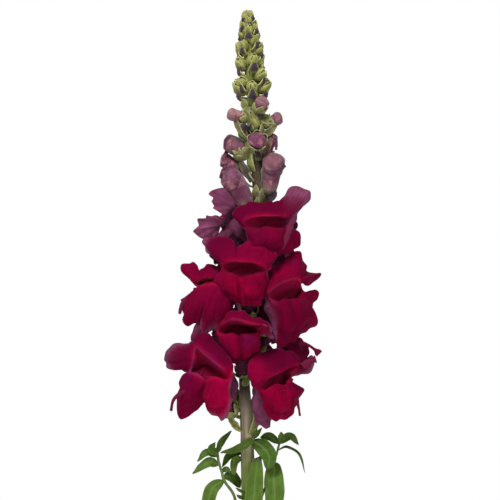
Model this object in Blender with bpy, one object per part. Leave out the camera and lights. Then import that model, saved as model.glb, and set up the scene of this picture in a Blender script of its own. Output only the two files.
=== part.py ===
"""Dark red snapdragon spike standing in a plain bottle vase.

Frame: +Z up, origin at the centre of the vase's flat underside, the viewer at -Y, +X to the right.
Lengths are metres; the hand-chosen tables are in millimetres and are multiplied by MM.
"""
import bpy
import math
from collections import namedtuple
from mathutils import Vector

MM = 0.001
GAP = 0.3 * MM                      # clearance between two touching pieces
NEAR = 0.02                         # small part of a curve, used to find its direction

# The vase
VASE_NECK_HEIGHT = 0.126            # where the neck is narrowest
VASE_FLOOR = 0.006                  # top of the inner floor
VASE_SIDES = 32
# Radius and height of the turned outline in mm: up the outside, over the lip and down the inside
VASE_OUTSIDE = [(29.0, 0.0), (31.0, 2.0), (35.0, 20.0), (36.5, 42.0), (33.5, 66.0), (25.0, 88.0),
                (17.0, 107.0), (13.5, 126.0), (13.7, 139.0), (16.5, 149.0)]
VASE_INSIDE = [(14.5, 150.0), (11.2, 142.0), (10.0, 126.0), (13.5, 107.0), (21.3, 88.0), (30.0, 66.0),
               (33.0, 42.0), (31.5, 20.0), (26.5, 6.0)]

# The stem and the spike
FLOWER_BASE = 0.200                 # height that the spike's tables are measured from
STEM_SIDES = 10
STEM_STEPS_BELOW = 10               # rings of the stem below FLOWER_BASE
STEM_STEPS_ABOVE = 15               # and above it
STEM_FOOT = (-9.0, 5.0)             # where the cut end stands on the vase's floor, x and y in mm
STEM_AT_NECK = (4.2, 3.7)           # where the stem leans on the neck, x and y in mm
CUT_RISE = 0.6                      # mm that the cut end's middle stands above its lower edge
STEM_TOP = 238.0                    # mm above FLOWER_BASE, where the packed tip begins

# x of the stem's middle at heights above FLOWER_BASE, in mm: the stem sways gently
STEM_SWAY = [(0, 3.0), (27, 2.6), (44, 2.4), (61, 1.2), (78, 1.0), (96, 3.2), (114, 6.0), (150, 9.0),
             (180, 9.8), (196, 8.8), (213, 8.2), (228, 7.2), (240, 5.8), (264, 4.0), (293, 2.4)]
# Stem radius at heights above FLOWER_BASE, in mm
STEM_RADIUS = [(-200, 4.0), (34, 4.0), (44, 4.0), (61, 3.5), (78, 3.0), (140, 3.0), (150, 3.0),
               (196, 2.7), (228, 1.9), (240, 1.6)]

# One open flower, in mm at size 1
TUBE_RADII = [(0.0, 3.0), (0.18, 3.3), (0.32, 5.8), (0.60, 6.4), (0.90, 6.6)]
TUBE_POUCH = [(0.0, 0.0), (0.18, 0.1), (0.34, 1.8), (0.60, 0.4), (0.90, 0.0)]  # extra depth below
MOUTH_HALF_WIDTH = 8.0
MOUTH_HALF_HEIGHT = 6.0
LIP_THICKNESS = 1.2
THROAT_AHEAD = 1.5                  # how far the closed throat stands out of the mouth
THROAT_DROP = 1.0                   # and how far below its middle

# Angles round the mouth, in degrees, 0 at the right and 90 at the top, with the petal length there
RIM = [(6, 10.0), (27, 20.0), (50, 24.5), (72, 22.0), (90, 15.0), (108, 22.0), (130, 24.5), (153, 20.0),
       (174, 10.0), (200, 12.0), (222, 21.0), (246, 19.0), (270, 24.0), (294, 19.0), (318, 21.0),
       (340, 12.0)]
UPPER_TURN = 112.0                  # how far the upper lip turns back from the way the tube points
LOWER_TURN = 86.0                   # the same for the lower lip
LIP_STEPS = (0.0, 0.2, 0.45, 1.0)
TURN_SHARE = 0.30                   # part of a petal's length that the turn takes
TURN_START = 1.5                    # mm added to the length of the turn
WALK_STEPS = 8                      # short straight steps that trace a petal's turn
TUBE_START_REACH = 0.42             # pull of the tube's first direction on its curve
TUBE_END_REACH = 0.36               # pull of the mouth's direction on its curve

# The stalk and calyx under a flower, in mm
STALK_RADIUS = 1.2
STALK_STRAIGHT = 0.9                # first stretch, square to the stem
STALK_LENGTH = 3.2
STALK_CLIMB = 0.55                  # rise of the stalk for each unit outward
STALK_PULL = 0.28                   # how much the stalk's direction sets the tube's first direction
CUP_DEPTH = 4.6                     # depth of the calyx cup round the tube's foot
CUP_FLOOR_WALL = 1.1                # wall round the foot of the cup, outside the tube's foot
CUP_RIM_WALL = 1.7                  # the same at the rim
CUP_RIM_CLEARANCE = 1.0             # space between the tube and the cup's rim
CUP_FLOOR_CLEARANCE = 0.4           # space between the tube and the foot of the cup
CUP_FLOOR_LIFT = 0.9                # thickness of the cup's floor
TUBE_LIFT = 1.3                     # height of the tube's foot above the underside of that floor
STALK_END = 1.4                     # where the stalk starts to widen, below the cup
CUP_SIDES = 8

# Open flowers: height and azimuth of the attachment on the stem (0 towards the viewer, 90 to +X),
# middle of the mouth as x, y, height in mm, azimuth and elevation that the face looks along, roll
# (positive leans the upper lip to the left as seen from the front) and size.
Floret = namedtuple("Floret", "height azimuth mouth face rise roll size")
FLORETS = [
    Floret(50.0, -62, (-24.0, -21.0, 76.2), -36, -4, 12, 1.0),
    Floret(46.0, 58, (20.8, -20.0, 73.5), 46, -8, -8, 0.98),
    Floret(74.0, -12, (-3.0, -23.5, 100.0), -10, -34, 0, 0.86),
    Floret(102.0, -88, (-24.5, -8.0, 127.0), -66, 0, 8, 0.92),
    Floret(109.0, -6, (-0.6, -26.5, 139.5), -4, -4, 0, 0.92),
    Floret(96.0, 74, (30.4, -12.6, 121.0), 55, -4, 10, 0.96),
    Floret(142.0, 34, (16.6, -15.5, 168.0), 20, 6, 6, 0.84),
    Floret(147.0, -84, (-16.0, -5.0, 172.0), -82, 8, 0, 0.82),
    Floret(58.0, -138, (-21.5, 18.0, 81.0), -134, -4, 0, 0.88),
    Floret(52.0, 140, (22.5, 18.5, 76.0), 138, -4, 0, 0.88),
    Floret(91.0, 178, (3.0, 25.5, 116.0), 178, -4, 0, 0.86),
    Floret(85.0, 120, (29.0, 15.5, 115.0), 116, -2, 0, 0.86),
    Floret(120.0, -138, (-16.6, 20.0, 145.0), -140, 2, 0, 0.78),
    Floret(134.0, 146, (19.5, 19.0, 157.0), 148, 4, 0, 0.82),
]

# Buds: height and azimuth of the attachment, stalk length, azimuth and elevation of the bud,
# its length and its greatest radius, in mm
Bud = namedtuple("Bud", "height azimuth stalk face rise length radius")
BUDS = [
    Bud(169.0, -52, 5.0, -56, 62, 30.0, 7.2),
    Bud(180.0, 66, 6.2, 68, 76, 25.0, 6.6),
    Bud(203.0, -80, 2.5, -80, 34, 17.5, 5.4),
    Bud(190.0, -118, 4.0, -108, 34, 17.0, 5.0),
    Bud(204.0, 106, 3.5, 98, 50, 15.0, 4.6),
    Bud(210.0, 2, 1.8, 0, 22, 11.0, 5.4),
    Bud(221.0, 82, 2.5, 86, 26, 14.0, 4.2),
    Bud(226.0, -74, 2.0, -76, 14, 14.0, 4.3),
    Bud(231.0, 36, 2.0, 42, 36, 11.0, 4.0),
    Bud(172.0, 168, 5.0, 170, 64, 23.0, 6.2),
    Bud(200.0, 160, 3.0, 160, 40, 15.0, 4.8),
    Bud(216.0, -148, 2.5, -150, 30, 13.0, 4.2),
]
BUD_STEPS = [(0.0, 0.34), (0.10, 0.74), (0.32, 1.0), (0.62, 0.98), (0.86, 0.66), (1.0, 0.22)]
BUD_SIDES = 8
BUD_STALK_RADIUS = 0.9
BUD_STALK_STRAIGHT = 0.8            # first stretch, square to the stem
BUD_STALK_BEND = 0.62               # part of the way along the stalk where it turns to the bud

# The packed tip, in mm: clearance to the stem, top above FLOWER_BASE, lobes round it and their depth
TIP_CLEARANCE = 0.4
TIP_TOP = 294.6
TIP_LOBES = 4
TIP_LOBE_DEPTH = 0.22
TIP_SIDES = 16
TIP_ROWS = 12
# Radius of the packed tip at parts of its height, in mm
TIP_RADII = [(0.0, 5.0), (0.10, 9.0), (0.20, 10.6), (0.30, 8.6), (0.38, 8.8), (0.52, 7.8), (0.68, 6.4),
             (0.84, 4.8), (0.96, 2.6), (1.0, 1.2)]

# Side shoots: height and azimuth of the attachment on the stem, the points that the shoot passes
# through as x, y, height in mm, and its radius
Shoot = namedtuple("Shoot", "height azimuth points radius")
SHOOTS = {
    "shoot_left": Shoot(-9.0, -100, [(-5.6, -2.5, 3.6), (-11.0, -4.5, 12.0), (-12.6, -5.0, 17.4),
                                     (-14.4, -5.2, 23.4), (-15.2, -5.2, 29.0)], 0.85),
    "shoot_right": Shoot(-7.0, 78, [(12.0, 1.0, 4.0), (17.2, 2.0, 15.0), (18.8, 1.6, 22.8),
                                    (20.4, 1.2, 28.2), (21.8, 0.8, 33.6)], 0.75),
}
SHOOT_SIDES = 6
SHOOT_STEPS = 8
SHOOT_ELBOW = (1.6, 0.5)            # mm outward and up before a shoot turns to its first point
SHOOT_TAPER = (1.15, 0.85)          # radius at the foot and at the end, as parts of the stated one

# Leaves: what holds the leaf, where along it (height in mm on the stem, part of the way on a shoot),
# azimuth and elevation that the leaf leaves it, the points of the midrib after that as x, y, height
# in mm, greatest width in mm, and the way its upper face looks
Leaf = namedtuple("Leaf", "holder at azimuth rise midrib width face")
LEAVES = [
    Leaf("shoot_left", 1.0, 60, 75, [(-12.6, -7.2, 36.0), (-6.6, -8.5, 42.6)], 3.6, (-0.6, -0.7, 0.4)),
    Leaf("shoot_left", 0.93, -95, 30, [(-21.5, -7.2, 30.4), (-27.0, -9.0, 24.8)], 4.6, (-0.2, -0.6, 0.8)),
    Leaf("shoot_left", 0.79, -80, 15, [(-20.6, -8.5, 25.2), (-30.0, -11.0, 17.4)], 5.6,
         (-0.2, -0.7, 0.7)),
    Leaf("stem", 37.5, 42, 5, [(3.0, -6.6, 35.4), (-4.8, -7.2, 31.4), (-12.4, -8.6, 30.0)], 4.2,
         (0.0, -0.9, 0.4)),
    Leaf("stem", 26.5, -122, 20, [(-7.5, 3.6, 28.4), (-12.4, 0.8, 20.5)], 5.2, (-0.3, -0.6, 0.7)),
    Leaf("stem", 25.0, -84, 10, [(-3.8, -0.8, 22.8), (-4.4, -1.6, 15.6)], 4.4, (-0.5, -0.9, 0.1)),
    Leaf("shoot_left", 0.585, 100, 20, [(-5.8, -0.6, 13.6), (-2.0, 5.6, 7.5)], 6.4, (0.3, -0.9, 0.4)),
    Leaf("shoot_left", 0.51, -70, 5, [(-18.6, -8.0, 7.6), (-21.8, -9.5, -3.5), (-19.8, -9.0, -15.0)],
         8.6, (-0.35, -0.9, 0.3)),
    Leaf("shoot_right", 1.0, -80, 40, [(15.8, 0.4, 39.2), (10.8, 0.6, 38.2)], 4.8, (0.0, -0.8, 0.6)),
    Leaf("shoot_right", 1.0, 0, 80, [(23.0, -1.2, 38.4), (22.6, -2.2, 42.0)], 3.6, (-0.4, -0.9, 0.2)),
    Leaf("shoot_right", 1.0, 85, 30, [(28.2, 1.0, 38.8), (33.2, 0.2, 33.4)], 4.8, (0.1, -0.7, 0.8)),
    Leaf("shoot_right", 0.88, 80, 20, [(26.4, -0.5, 31.8), (33.4, -2.0, 27.0), (36.6, -2.5, 16.8)], 2.6,
         (0.2, -0.5, 0.9)),
    Leaf("stem", 35.0, 70, 10, [(12.6, -5.2, 33.4), (16.8, -7.6, 27.0), (15.6, -8.2, 20.0)], 8.8,
         (0.2, -0.85, 0.5)),
    Leaf("shoot_right", 0.655, 0, -10, [(18.2, -4.6, 13.0), (18.8, -7.0, 1.0), (16.0, -6.5, -18.0)],
         12.0, (0.1, -1.0, 0.2)),
    Leaf("stem", -16.0, 12, 20, [(5.2, -7.6, -2.0), (6.6, -8.6, 12.0), (8.4, -6.8, 27.6)], 10.0,
         (0.0, -1.0, -0.1)),
]
LEAF_THICKNESS = 0.7                # mm
LEAF_STEPS = 6
LEAF_FOOT = 0.02                    # part of the blade's outline that the leaf stalk cuts off
LEAF_END = 0.15                     # half width left at the leaf's ends, as a part of the greatest
LEAF_FOLD = 0.22                    # rise of the edges above the midrib, as a part of the half width

# Colours as seen, as linear red, green and blue
COLOURS = {
    "ceramic": ((0.80, 0.78, 0.73), 0.28),
    "stem": ((0.17, 0.18, 0.09), 0.55),
    "petal": ((0.24, 0.002, 0.028), 0.60),
    "calyx": ((0.13, 0.16, 0.04), 0.60),
    "bud": ((0.20, 0.09, 0.12), 0.60),
    "tip": ((0.24, 0.23, 0.07), 0.60),
    "leaf": ((0.08, 0.14, 0.03), 0.50),
}


def clear_scene():
    """Remove every object that the file starts with."""
    for thing in list(bpy.data.objects):
        bpy.data.objects.remove(thing, do_unlink=True)


def material(name):
    """The Principled material of one kind of piece, made once."""
    made = bpy.data.materials.get(name)
    if made:
        return made
    colour, roughness = COLOURS[name]
    made = bpy.data.materials.new(name)
    made.use_nodes = True
    shader = made.node_tree.nodes["Principled BSDF"]
    shader.inputs["Base Color"].default_value = (*colour, 1.0)
    shader.inputs["Roughness"].default_value = roughness
    shader.inputs["Metallic"].default_value = 0.0
    return made


def add_piece(name, verts, faces, kind, sharp_degrees=180.0):
    """One named object from its corners and faces, shaded smooth."""
    mesh = bpy.data.meshes.new(name)
    mesh.from_pydata([tuple(v) for v in verts], [], faces)
    mesh.validate()
    mesh.materials.append(material(kind))
    mesh.shade_smooth()
    mesh.set_sharp_from_angle(angle=math.radians(sharp_degrees))
    piece = bpy.data.objects.new(name, mesh)
    bpy.context.scene.collection.objects.link(piece)
    return piece


def ease(t):
    """Smooth step from 0 to 1."""
    return t * t * (3.0 - 2.0 * t)


def between(table, at):
    """Value at one place in a table of (place, value) rows, on a smooth curve through the rows."""
    if at <= table[0][0]:
        return table[0][1]
    if at >= table[-1][0]:
        return table[-1][1]
    slopes = [(b[1] - a[1]) / (b[0] - a[0]) for a, b in zip(table, table[1:])]
    i = next(k for k in range(len(slopes)) if at <= table[k + 1][0])
    enter = slopes[i] if i == 0 else 0.5 * (slopes[i - 1] + slopes[i])
    leave = slopes[i] if i == len(slopes) - 1 else 0.5 * (slopes[i] + slopes[i + 1])
    span = table[i + 1][0] - table[i][0]
    t = (at - table[i][0]) / span
    value = table[i][1] + (table[i + 1][1] - table[i][1]) * ease(t)
    return value + span * (enter * t * (1.0 - t) ** 2 - leave * t * t * (1.0 - t))


def bezier(points, t):
    """Point of a Bezier curve with any number of control points."""
    points = list(points)
    while len(points) > 1:
        points = [a.lerp(b, t) for a, b in zip(points, points[1:])]
    return points[0]


def through(points, t):
    """Point of a smooth curve that passes through every given point, t from 0 to 1."""
    last = len(points) - 1
    at = min(max(t, 0.0), 1.0) * last
    i = min(int(at), last - 1)
    u = at - i
    a, b = points[i], points[i + 1]
    before = points[i - 1] if i else a * 2.0 - b
    after = points[i + 2] if i + 2 <= last else b * 2.0 - a
    cubic = (a - b) * 3.0 + after - before
    square = before * 2.0 - a * 5.0 + b * 4.0 - after
    return a + (b - before) * (0.5 * u) + square * (0.5 * u * u) + cubic * (0.5 * u ** 3)


def in_space(row):
    """World point of a table row of x, y and height above FLOWER_BASE in mm."""
    return Vector((row[0] * MM, row[1] * MM, FLOWER_BASE + row[2] * MM))


def heading(azimuth, rise):
    """Unit vector at an azimuth (0 towards the viewer, 90 to +X) and an elevation."""
    a = math.radians(azimuth)
    e = math.radians(rise)
    return Vector((math.sin(a) * math.cos(e), -math.cos(a) * math.cos(e), math.sin(e)))


def stem_centre(height):
    """Middle of the stem, in world metres, at a height above FLOWER_BASE in mm."""
    foot_height = (VASE_FLOOR + GAP - FLOWER_BASE) / MM
    neck_height = (VASE_NECK_HEIGHT - FLOWER_BASE) / MM
    if height >= 0.0:
        x = between(STEM_SWAY, height)
        y = 0.0
    elif height >= neck_height:
        t = ease(height / neck_height)
        x = STEM_SWAY[0][1] + (STEM_AT_NECK[0] - STEM_SWAY[0][1]) * t
        y = STEM_AT_NECK[1] * t
    else:
        t = (height - neck_height) / (foot_height - neck_height)
        t = t * t * (2.0 - t)
        x = STEM_AT_NECK[0] + (STEM_FOOT[0] - STEM_AT_NECK[0]) * t
        y = STEM_AT_NECK[1] + (STEM_FOOT[1] - STEM_AT_NECK[1]) * t
    return in_space((x, y, height))


def rings_to_faces(count, sides):
    """Quads that join rings of equal size, each ring running the same way round."""
    faces = []
    for ring in range(count - 1):
        low = ring * sides
        high = low + sides
        for i in range(sides):
            j = (i + 1) % sides
            faces.append((low + i, low + j, high + j, high + i))
    return faces


def tube_rings(centres, radii, sides):
    """Rings of corners round a curve, turned along it without a twist."""
    rings = []
    side = Vector((1.0, 0.0, 0.0))
    for i, centre in enumerate(centres):
        ahead = centres[min(i + 1, len(centres) - 1)] - centres[max(i - 1, 0)]
        ahead.normalize()
        side = (side - ahead * side.dot(ahead)).normalized()
        other = ahead.cross(side)
        for k in range(sides):
            a = 2.0 * math.pi * k / sides
            rings.append(centre + (side * math.cos(a) + other * math.sin(a)) * radii[i])
    return rings


def capped(verts, ring_count, sides):
    """Faces of a closed tube with a fan at each end; adds the two middle corners."""
    faces = rings_to_faces(ring_count, sides)
    start = sum((verts[i] for i in range(sides)), Vector()) / sides
    last = (ring_count - 1) * sides
    end = sum((verts[last + i] for i in range(sides)), Vector()) / sides
    verts.append(start)
    verts.append(end)
    for i in range(sides):
        j = (i + 1) % sides
        faces.append((ring_count * sides, j, i))
        faces.append((ring_count * sides + 1, last + i, last + j))
    return faces


def make_vase():
    """A bottle vase turned about Z: foot, belly, narrow neck and a small flared lip."""
    outline = VASE_OUTSIDE + VASE_INSIDE
    verts = []
    for radius, height in outline:
        for k in range(VASE_SIDES):
            a = 2.0 * math.pi * k / VASE_SIDES
            verts.append(Vector((radius * math.cos(a), radius * math.sin(a), height)) * MM)
    faces = capped(verts, len(outline), VASE_SIDES)
    return add_piece("vase", verts, faces, "ceramic", 60.0)


def make_stem():
    """The main stem from its cut end on the vase's floor to the foot of the packed tip."""
    foot = (VASE_FLOOR + GAP - FLOWER_BASE) / MM + CUT_RISE
    below = [foot * (1.0 - i / STEM_STEPS_BELOW) for i in range(STEM_STEPS_BELOW)]
    above = [STEM_TOP * i / STEM_STEPS_ABOVE for i in range(STEM_STEPS_ABOVE + 1)]
    heights = below + above
    centres = [stem_centre(h) for h in heights]
    radii = [between(STEM_RADIUS, h) * MM for h in heights]
    verts = tube_rings(centres, radii, STEM_SIDES)
    faces = capped(verts, len(centres), STEM_SIDES)
    return add_piece("stem", verts, faces, "stem", 50.0)


def seat_on_stem(height, azimuth):
    """Point just off the stem's skin, and the way out from there."""
    outward = heading(azimuth, 0.0)
    radius = between(STEM_RADIUS, height) * MM
    return stem_centre(height) + outward * (radius + GAP), outward


def floret_foot(floret):
    """Foot of a flower's tube and the way the tube starts, from its stalk on the stem."""
    seat, outward = seat_on_stem(floret.height, floret.azimuth)
    stalk = (outward + Vector((0.0, 0.0, STALK_CLIMB))).normalized()
    foot = seat + outward * (STALK_STRAIGHT * MM) + stalk * (STALK_LENGTH * MM * floret.size)
    to_mouth = (in_space(floret.mouth) - foot).normalized()
    start = (to_mouth * (1.0 - STALK_PULL) + stalk * STALK_PULL).normalized()
    return seat, outward, stalk, foot, start


def face_frame(floret):
    """Middle of the mouth and the face's forward, right and up directions."""
    forward = heading(floret.face, floret.rise)
    right = Vector((0.0, 0.0, 1.0)).cross(forward).normalized()
    up = forward.cross(right)
    lean = math.radians(floret.roll)
    turned_right = right * math.cos(lean) + up * math.sin(lean)
    turned_up = up * math.cos(lean) - right * math.sin(lean)
    return in_space(floret.mouth), forward, turned_right, turned_up


def make_floret(name, floret):
    """A fused flower: a tube that swells at its foot, and two lips round a closed mouth."""
    _, _, _, cup_foot, start = floret_foot(floret)
    mouth, forward, right, up = face_frame(floret)
    scale = floret.size * MM
    foot = cup_foot + start * (TUBE_LIFT * MM)
    reach = (mouth - foot).length
    route = [foot, foot + start * (reach * TUBE_START_REACH), mouth - forward * (reach * TUBE_END_REACH),
             mouth]
    sides = len(RIM)
    verts = []
    for t, radius in TUBE_RADII:
        centre = bezier(route, t)
        ahead = (bezier(route, min(t + NEAR, 1.0)) - bezier(route, max(t - NEAR, 0.0))).normalized()
        across = (right - ahead * right.dot(ahead)).normalized()
        over = ahead.cross(across)
        pouch = between(TUBE_POUCH, t)
        for angle, _ in RIM:
            a = math.radians(angle)
            depth = radius + pouch * max(0.0, -math.sin(a))
            verts.append(centre + (across * (radius * math.cos(a)) + over * (depth * math.sin(a))) * scale)
    outer, inner = lip_rings(mouth, forward, right, up, scale)
    for ring in outer + inner[::-1]:
        verts.extend(ring)
    ring_count = len(TUBE_RADII) + 2 * len(LIP_STEPS)
    faces = capped(verts, ring_count, sides)
    verts[-1] = mouth + forward * (THROAT_AHEAD * scale) - up * (THROAT_DROP * scale)
    return add_piece(name, verts, faces, "petal")


def lip_rings(mouth, forward, right, up, scale):
    """Back and front rings of both lips, from the mouth's rim to the petals' edges."""
    outer = []
    inner = []
    for step in LIP_STEPS:
        back = []
        front = []
        for angle, length in RIM:
            a = math.radians(angle)
            upper = math.sin(a) > 0.0
            turn = UPPER_TURN if upper else LOWER_TURN
            ahead, out, bend = walk_lip(length * step, length, turn)
            radial = right * math.cos(a) + up * math.sin(a)
            rim = right * (MOUTH_HALF_WIDTH * math.cos(a)) + up * (MOUTH_HALF_HEIGHT * math.sin(a))
            middle = mouth + (rim + radial * out + forward * ahead) * scale
            toward = (forward * math.sin(bend) - radial * math.cos(bend)) * (LIP_THICKNESS * 0.5 * MM)
            back.append(middle - toward)
            front.append(middle + toward)
        outer.append(back)
        inner.append(front)
    return outer, inner


def walk_lip(distance, length, turn):
    """Forward and outward travel along a lip, and its bend there, at a distance from the rim."""
    ahead = 0.0
    out = 0.0
    bend = 0.0
    for i in range(WALK_STEPS):
        at = distance * (i + 0.5) / WALK_STEPS
        bend = math.radians(turn) * min(1.0, at / (TURN_SHARE * length + TURN_START))
        ahead += math.cos(bend) * distance / WALK_STEPS
        out += math.sin(bend) * distance / WALK_STEPS
    return ahead, out, bend


def make_calyx(name, floret):
    """The stalk and cup under a flower, hollow where the tube's foot sits."""
    seat, outward, stalk, foot, start = floret_foot(floret)
    tube_radius = TUBE_RADII[0][1] * floret.size
    rim = foot + start * (CUP_DEPTH * floret.size * MM)
    floor = foot + start * (CUP_FLOOR_LIFT * MM)
    rings = [(seat, STALK_RADIUS, outward),
             (foot - stalk * (STALK_END * MM), STALK_RADIUS, stalk),
             (foot, tube_radius + CUP_FLOOR_WALL, start),
             (rim, tube_radius + CUP_RIM_WALL, start),
             (rim, tube_radius + CUP_RIM_CLEARANCE, start),
             (floor, tube_radius + CUP_FLOOR_CLEARANCE, start)]
    side = start.orthogonal().normalized()
    verts = []
    for centre, radius, ahead in rings:
        across = (side - ahead * side.dot(ahead)).normalized()
        over = ahead.cross(across)
        for k in range(CUP_SIDES):
            a = 2.0 * math.pi * k / CUP_SIDES
            verts.append(centre + (across * math.cos(a) + over * math.sin(a)) * (radius * MM))
    faces = capped(verts, len(rings), CUP_SIDES)
    return add_piece(name, verts, faces, "calyx")


def make_bud(name, bud):
    """A closed bud on its stalk, one closed solid with its calyx."""
    seat, outward = seat_on_stem(bud.height, bud.azimuth)
    ahead = heading(bud.face, bud.rise)
    stalk_way = (outward + ahead).normalized()
    foot = seat + stalk_way * (bud.stalk * MM)
    centres = [seat, seat + outward * (BUD_STALK_STRAIGHT * MM), seat.lerp(foot, BUD_STALK_BEND)]
    radii = [BUD_STALK_RADIUS * MM] * len(centres)
    for t, share in BUD_STEPS:
        centres.append(foot + ahead * (bud.length * t * MM))
        radii.append(bud.radius * share * MM)
    verts = tube_rings(centres, radii, BUD_SIDES)
    faces = capped(verts, len(centres), BUD_SIDES)
    return add_piece(name, verts, faces, "bud")


def make_tip():
    """The packed top of the spike: rows of small green buds grown together, as one lobed cone."""
    foot = STEM_TOP + TIP_CLEARANCE
    verts = []
    for row in range(TIP_ROWS + 1):
        t = row / TIP_ROWS
        centre = stem_centre(foot + (TIP_TOP - foot) * t)
        body = between(TIP_RADII, t)
        for k in range(TIP_SIDES):
            a = 2.0 * math.pi * k / TIP_SIDES
            wave = 0.5 + 0.5 * math.cos(TIP_LOBES * a + math.pi * row)
            radius = body * (1.0 - TIP_LOBE_DEPTH * (1.0 - wave)) * MM
            verts.append(centre + Vector((math.cos(a), math.sin(a), 0.0)) * radius)
    faces = capped(verts, TIP_ROWS + 1, TIP_SIDES)
    return add_piece("raceme_tip", verts, faces, "tip")


def shoot_route(shoot):
    """World points that a side shoot passes through, straight out of the stem at first."""
    seat, outward = seat_on_stem(shoot.height, shoot.azimuth)
    elbow = seat + outward * (SHOOT_ELBOW[0] * MM) + Vector((0.0, 0.0, SHOOT_ELBOW[1] * MM))
    return [seat, elbow] + [in_space(p) for p in shoot.points]


def shoot_radius(shoot, t):
    """Radius of a side shoot part of the way along it."""
    return shoot.radius * MM * (SHOOT_TAPER[0] + (SHOOT_TAPER[1] - SHOOT_TAPER[0]) * t)


def make_shoot(name, shoot):
    """A thin side shoot that grows from the stem."""
    route = shoot_route(shoot)
    centres = [through(route, i / SHOOT_STEPS) for i in range(SHOOT_STEPS + 1)]
    radii = [shoot_radius(shoot, i / SHOOT_STEPS) for i in range(SHOOT_STEPS + 1)]
    verts = tube_rings(centres, radii, SHOOT_SIDES)
    faces = capped(verts, len(centres), SHOOT_SIDES)
    return add_piece(name, verts, faces, "stem")


def leaf_seat(leaf):
    """Point where a leaf's midrib starts, just clear of the stem or shoot that holds it."""
    away = heading(leaf.azimuth, leaf.rise)
    clear = GAP + 0.5 * LEAF_THICKNESS * MM
    if leaf.holder == "stem":
        return stem_centre(leaf.at) + away * (between(STEM_RADIUS, leaf.at) * MM + clear)
    shoot = SHOOTS[leaf.holder]
    route = shoot_route(shoot)
    here = through(route, leaf.at)
    along = (here - through(route, leaf.at - NEAR)).normalized().dot(away)
    return here + away * (shoot_radius(shoot, leaf.at) * math.sqrt(1.0 - along * along) + clear)


def make_leaf(name, leaf):
    """A lance-shaped blade, folded a little along its midrib."""
    points = [leaf_seat(leaf)] + [in_space(p) for p in leaf.midrib]
    face = Vector(leaf.face).normalized()
    verts = []
    for i in range(LEAF_STEPS + 1):
        t = i / LEAF_STEPS
        centre = through(points, t)
        ahead = (through(points, t + NEAR) - through(points, t - NEAR)).normalized()
        across = face.cross(ahead).normalized()
        normal = ahead.cross(across).normalized()
        taper = math.sin(math.pi * (LEAF_FOOT + (1.0 - LEAF_FOOT) * t))
        half = 0.5 * leaf.width * MM * max(LEAF_END, taper)
        thick = 0.5 * LEAF_THICKNESS * MM
        fold = LEAF_FOLD * half
        edge_left = centre + across * half + normal * fold
        edge_right = centre - across * half + normal * fold
        verts.extend([edge_left + normal * thick, centre + normal * thick, edge_right + normal * thick,
                      edge_right - normal * thick, centre - normal * thick, edge_left - normal * thick])
    faces = rings_to_faces(LEAF_STEPS + 1, 6)
    last = LEAF_STEPS * 6
    faces.append((4, 3, 2, 1))
    faces.append((5, 4, 1, 0))
    faces.append((last + 1, last + 2, last + 3, last + 4))
    faces.append((last, last + 1, last + 4, last + 5))
    return add_piece(name, verts, faces, "leaf", 50.0)


def main():
    """Make every piece."""
    clear_scene()
    make_vase()
    make_stem()
    make_tip()
    for number, floret in enumerate(FLORETS, 1):
        make_floret(f"floret_{number:02d}", floret)
        make_calyx(f"calyx_{number:02d}", floret)
    for number, bud in enumerate(BUDS, 1):
        make_bud(f"bud_{number:02d}", bud)
    for name, shoot in SHOOTS.items():
        make_shoot(name, shoot)
    for number, leaf in enumerate(LEAVES, 1):
        make_leaf(f"leaf_{number:02d}", leaf)


main()
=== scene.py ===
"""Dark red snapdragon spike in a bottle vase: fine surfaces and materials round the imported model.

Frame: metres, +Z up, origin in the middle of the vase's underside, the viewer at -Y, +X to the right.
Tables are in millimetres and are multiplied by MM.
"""
import math
from collections import namedtuple

import bpy
import numpy as np
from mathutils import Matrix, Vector


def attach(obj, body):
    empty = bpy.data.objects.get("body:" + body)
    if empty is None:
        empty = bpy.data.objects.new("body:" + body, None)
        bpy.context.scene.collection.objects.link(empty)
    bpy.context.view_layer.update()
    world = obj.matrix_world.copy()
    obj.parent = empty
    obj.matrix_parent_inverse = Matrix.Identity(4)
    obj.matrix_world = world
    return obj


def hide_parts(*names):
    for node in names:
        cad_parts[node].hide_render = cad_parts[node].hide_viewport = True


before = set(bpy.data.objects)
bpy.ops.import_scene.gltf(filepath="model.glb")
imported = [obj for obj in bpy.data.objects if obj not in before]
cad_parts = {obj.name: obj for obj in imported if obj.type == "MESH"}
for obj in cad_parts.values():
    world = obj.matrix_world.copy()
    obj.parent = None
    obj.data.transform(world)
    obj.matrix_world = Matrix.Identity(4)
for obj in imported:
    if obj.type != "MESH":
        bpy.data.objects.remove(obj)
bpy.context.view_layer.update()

bl_info = {
    "name": "Snapdragon spike in vase",
    "version": (1, 0, 0),
    "blender": (4, 5, 0),
    "location": "3D View > Sidebar > Snapdragon",
    "description": "Fine petals, buds, leaves, stem and vase round a packed snapdragon model",
    "category": "Object",
}

MM = 0.001
GAP = 0.3 * MM
NEAR = 0.01                         # small part of a curve, used to find its direction

# The stem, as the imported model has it
FLOWER_BASE = 0.200                 # height that the spike's tables are measured from
VASE_NECK_HEIGHT = 0.126
VASE_FLOOR = 0.006
STEM_FOOT = (-9.0, 5.0)
STEM_AT_NECK = (4.2, 3.7)
STEM_TOP = 238.0
STEM_SWAY = [(0, 3.0), (27, 2.6), (44, 2.4), (61, 1.2), (78, 1.0), (96, 3.2), (114, 6.0), (150, 9.0),
             (180, 9.8), (196, 8.8), (213, 8.2), (228, 7.2), (240, 5.8), (264, 4.0), (293, 2.4)]
STEM_RADIUS = [(-200, 4.0), (34, 4.0), (44, 4.0), (61, 3.5), (78, 3.0), (140, 3.0), (150, 3.1),
               (176, 3.6), (197, 3.6), (212, 2.4), (228, 1.9), (240, 1.6)]

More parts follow.
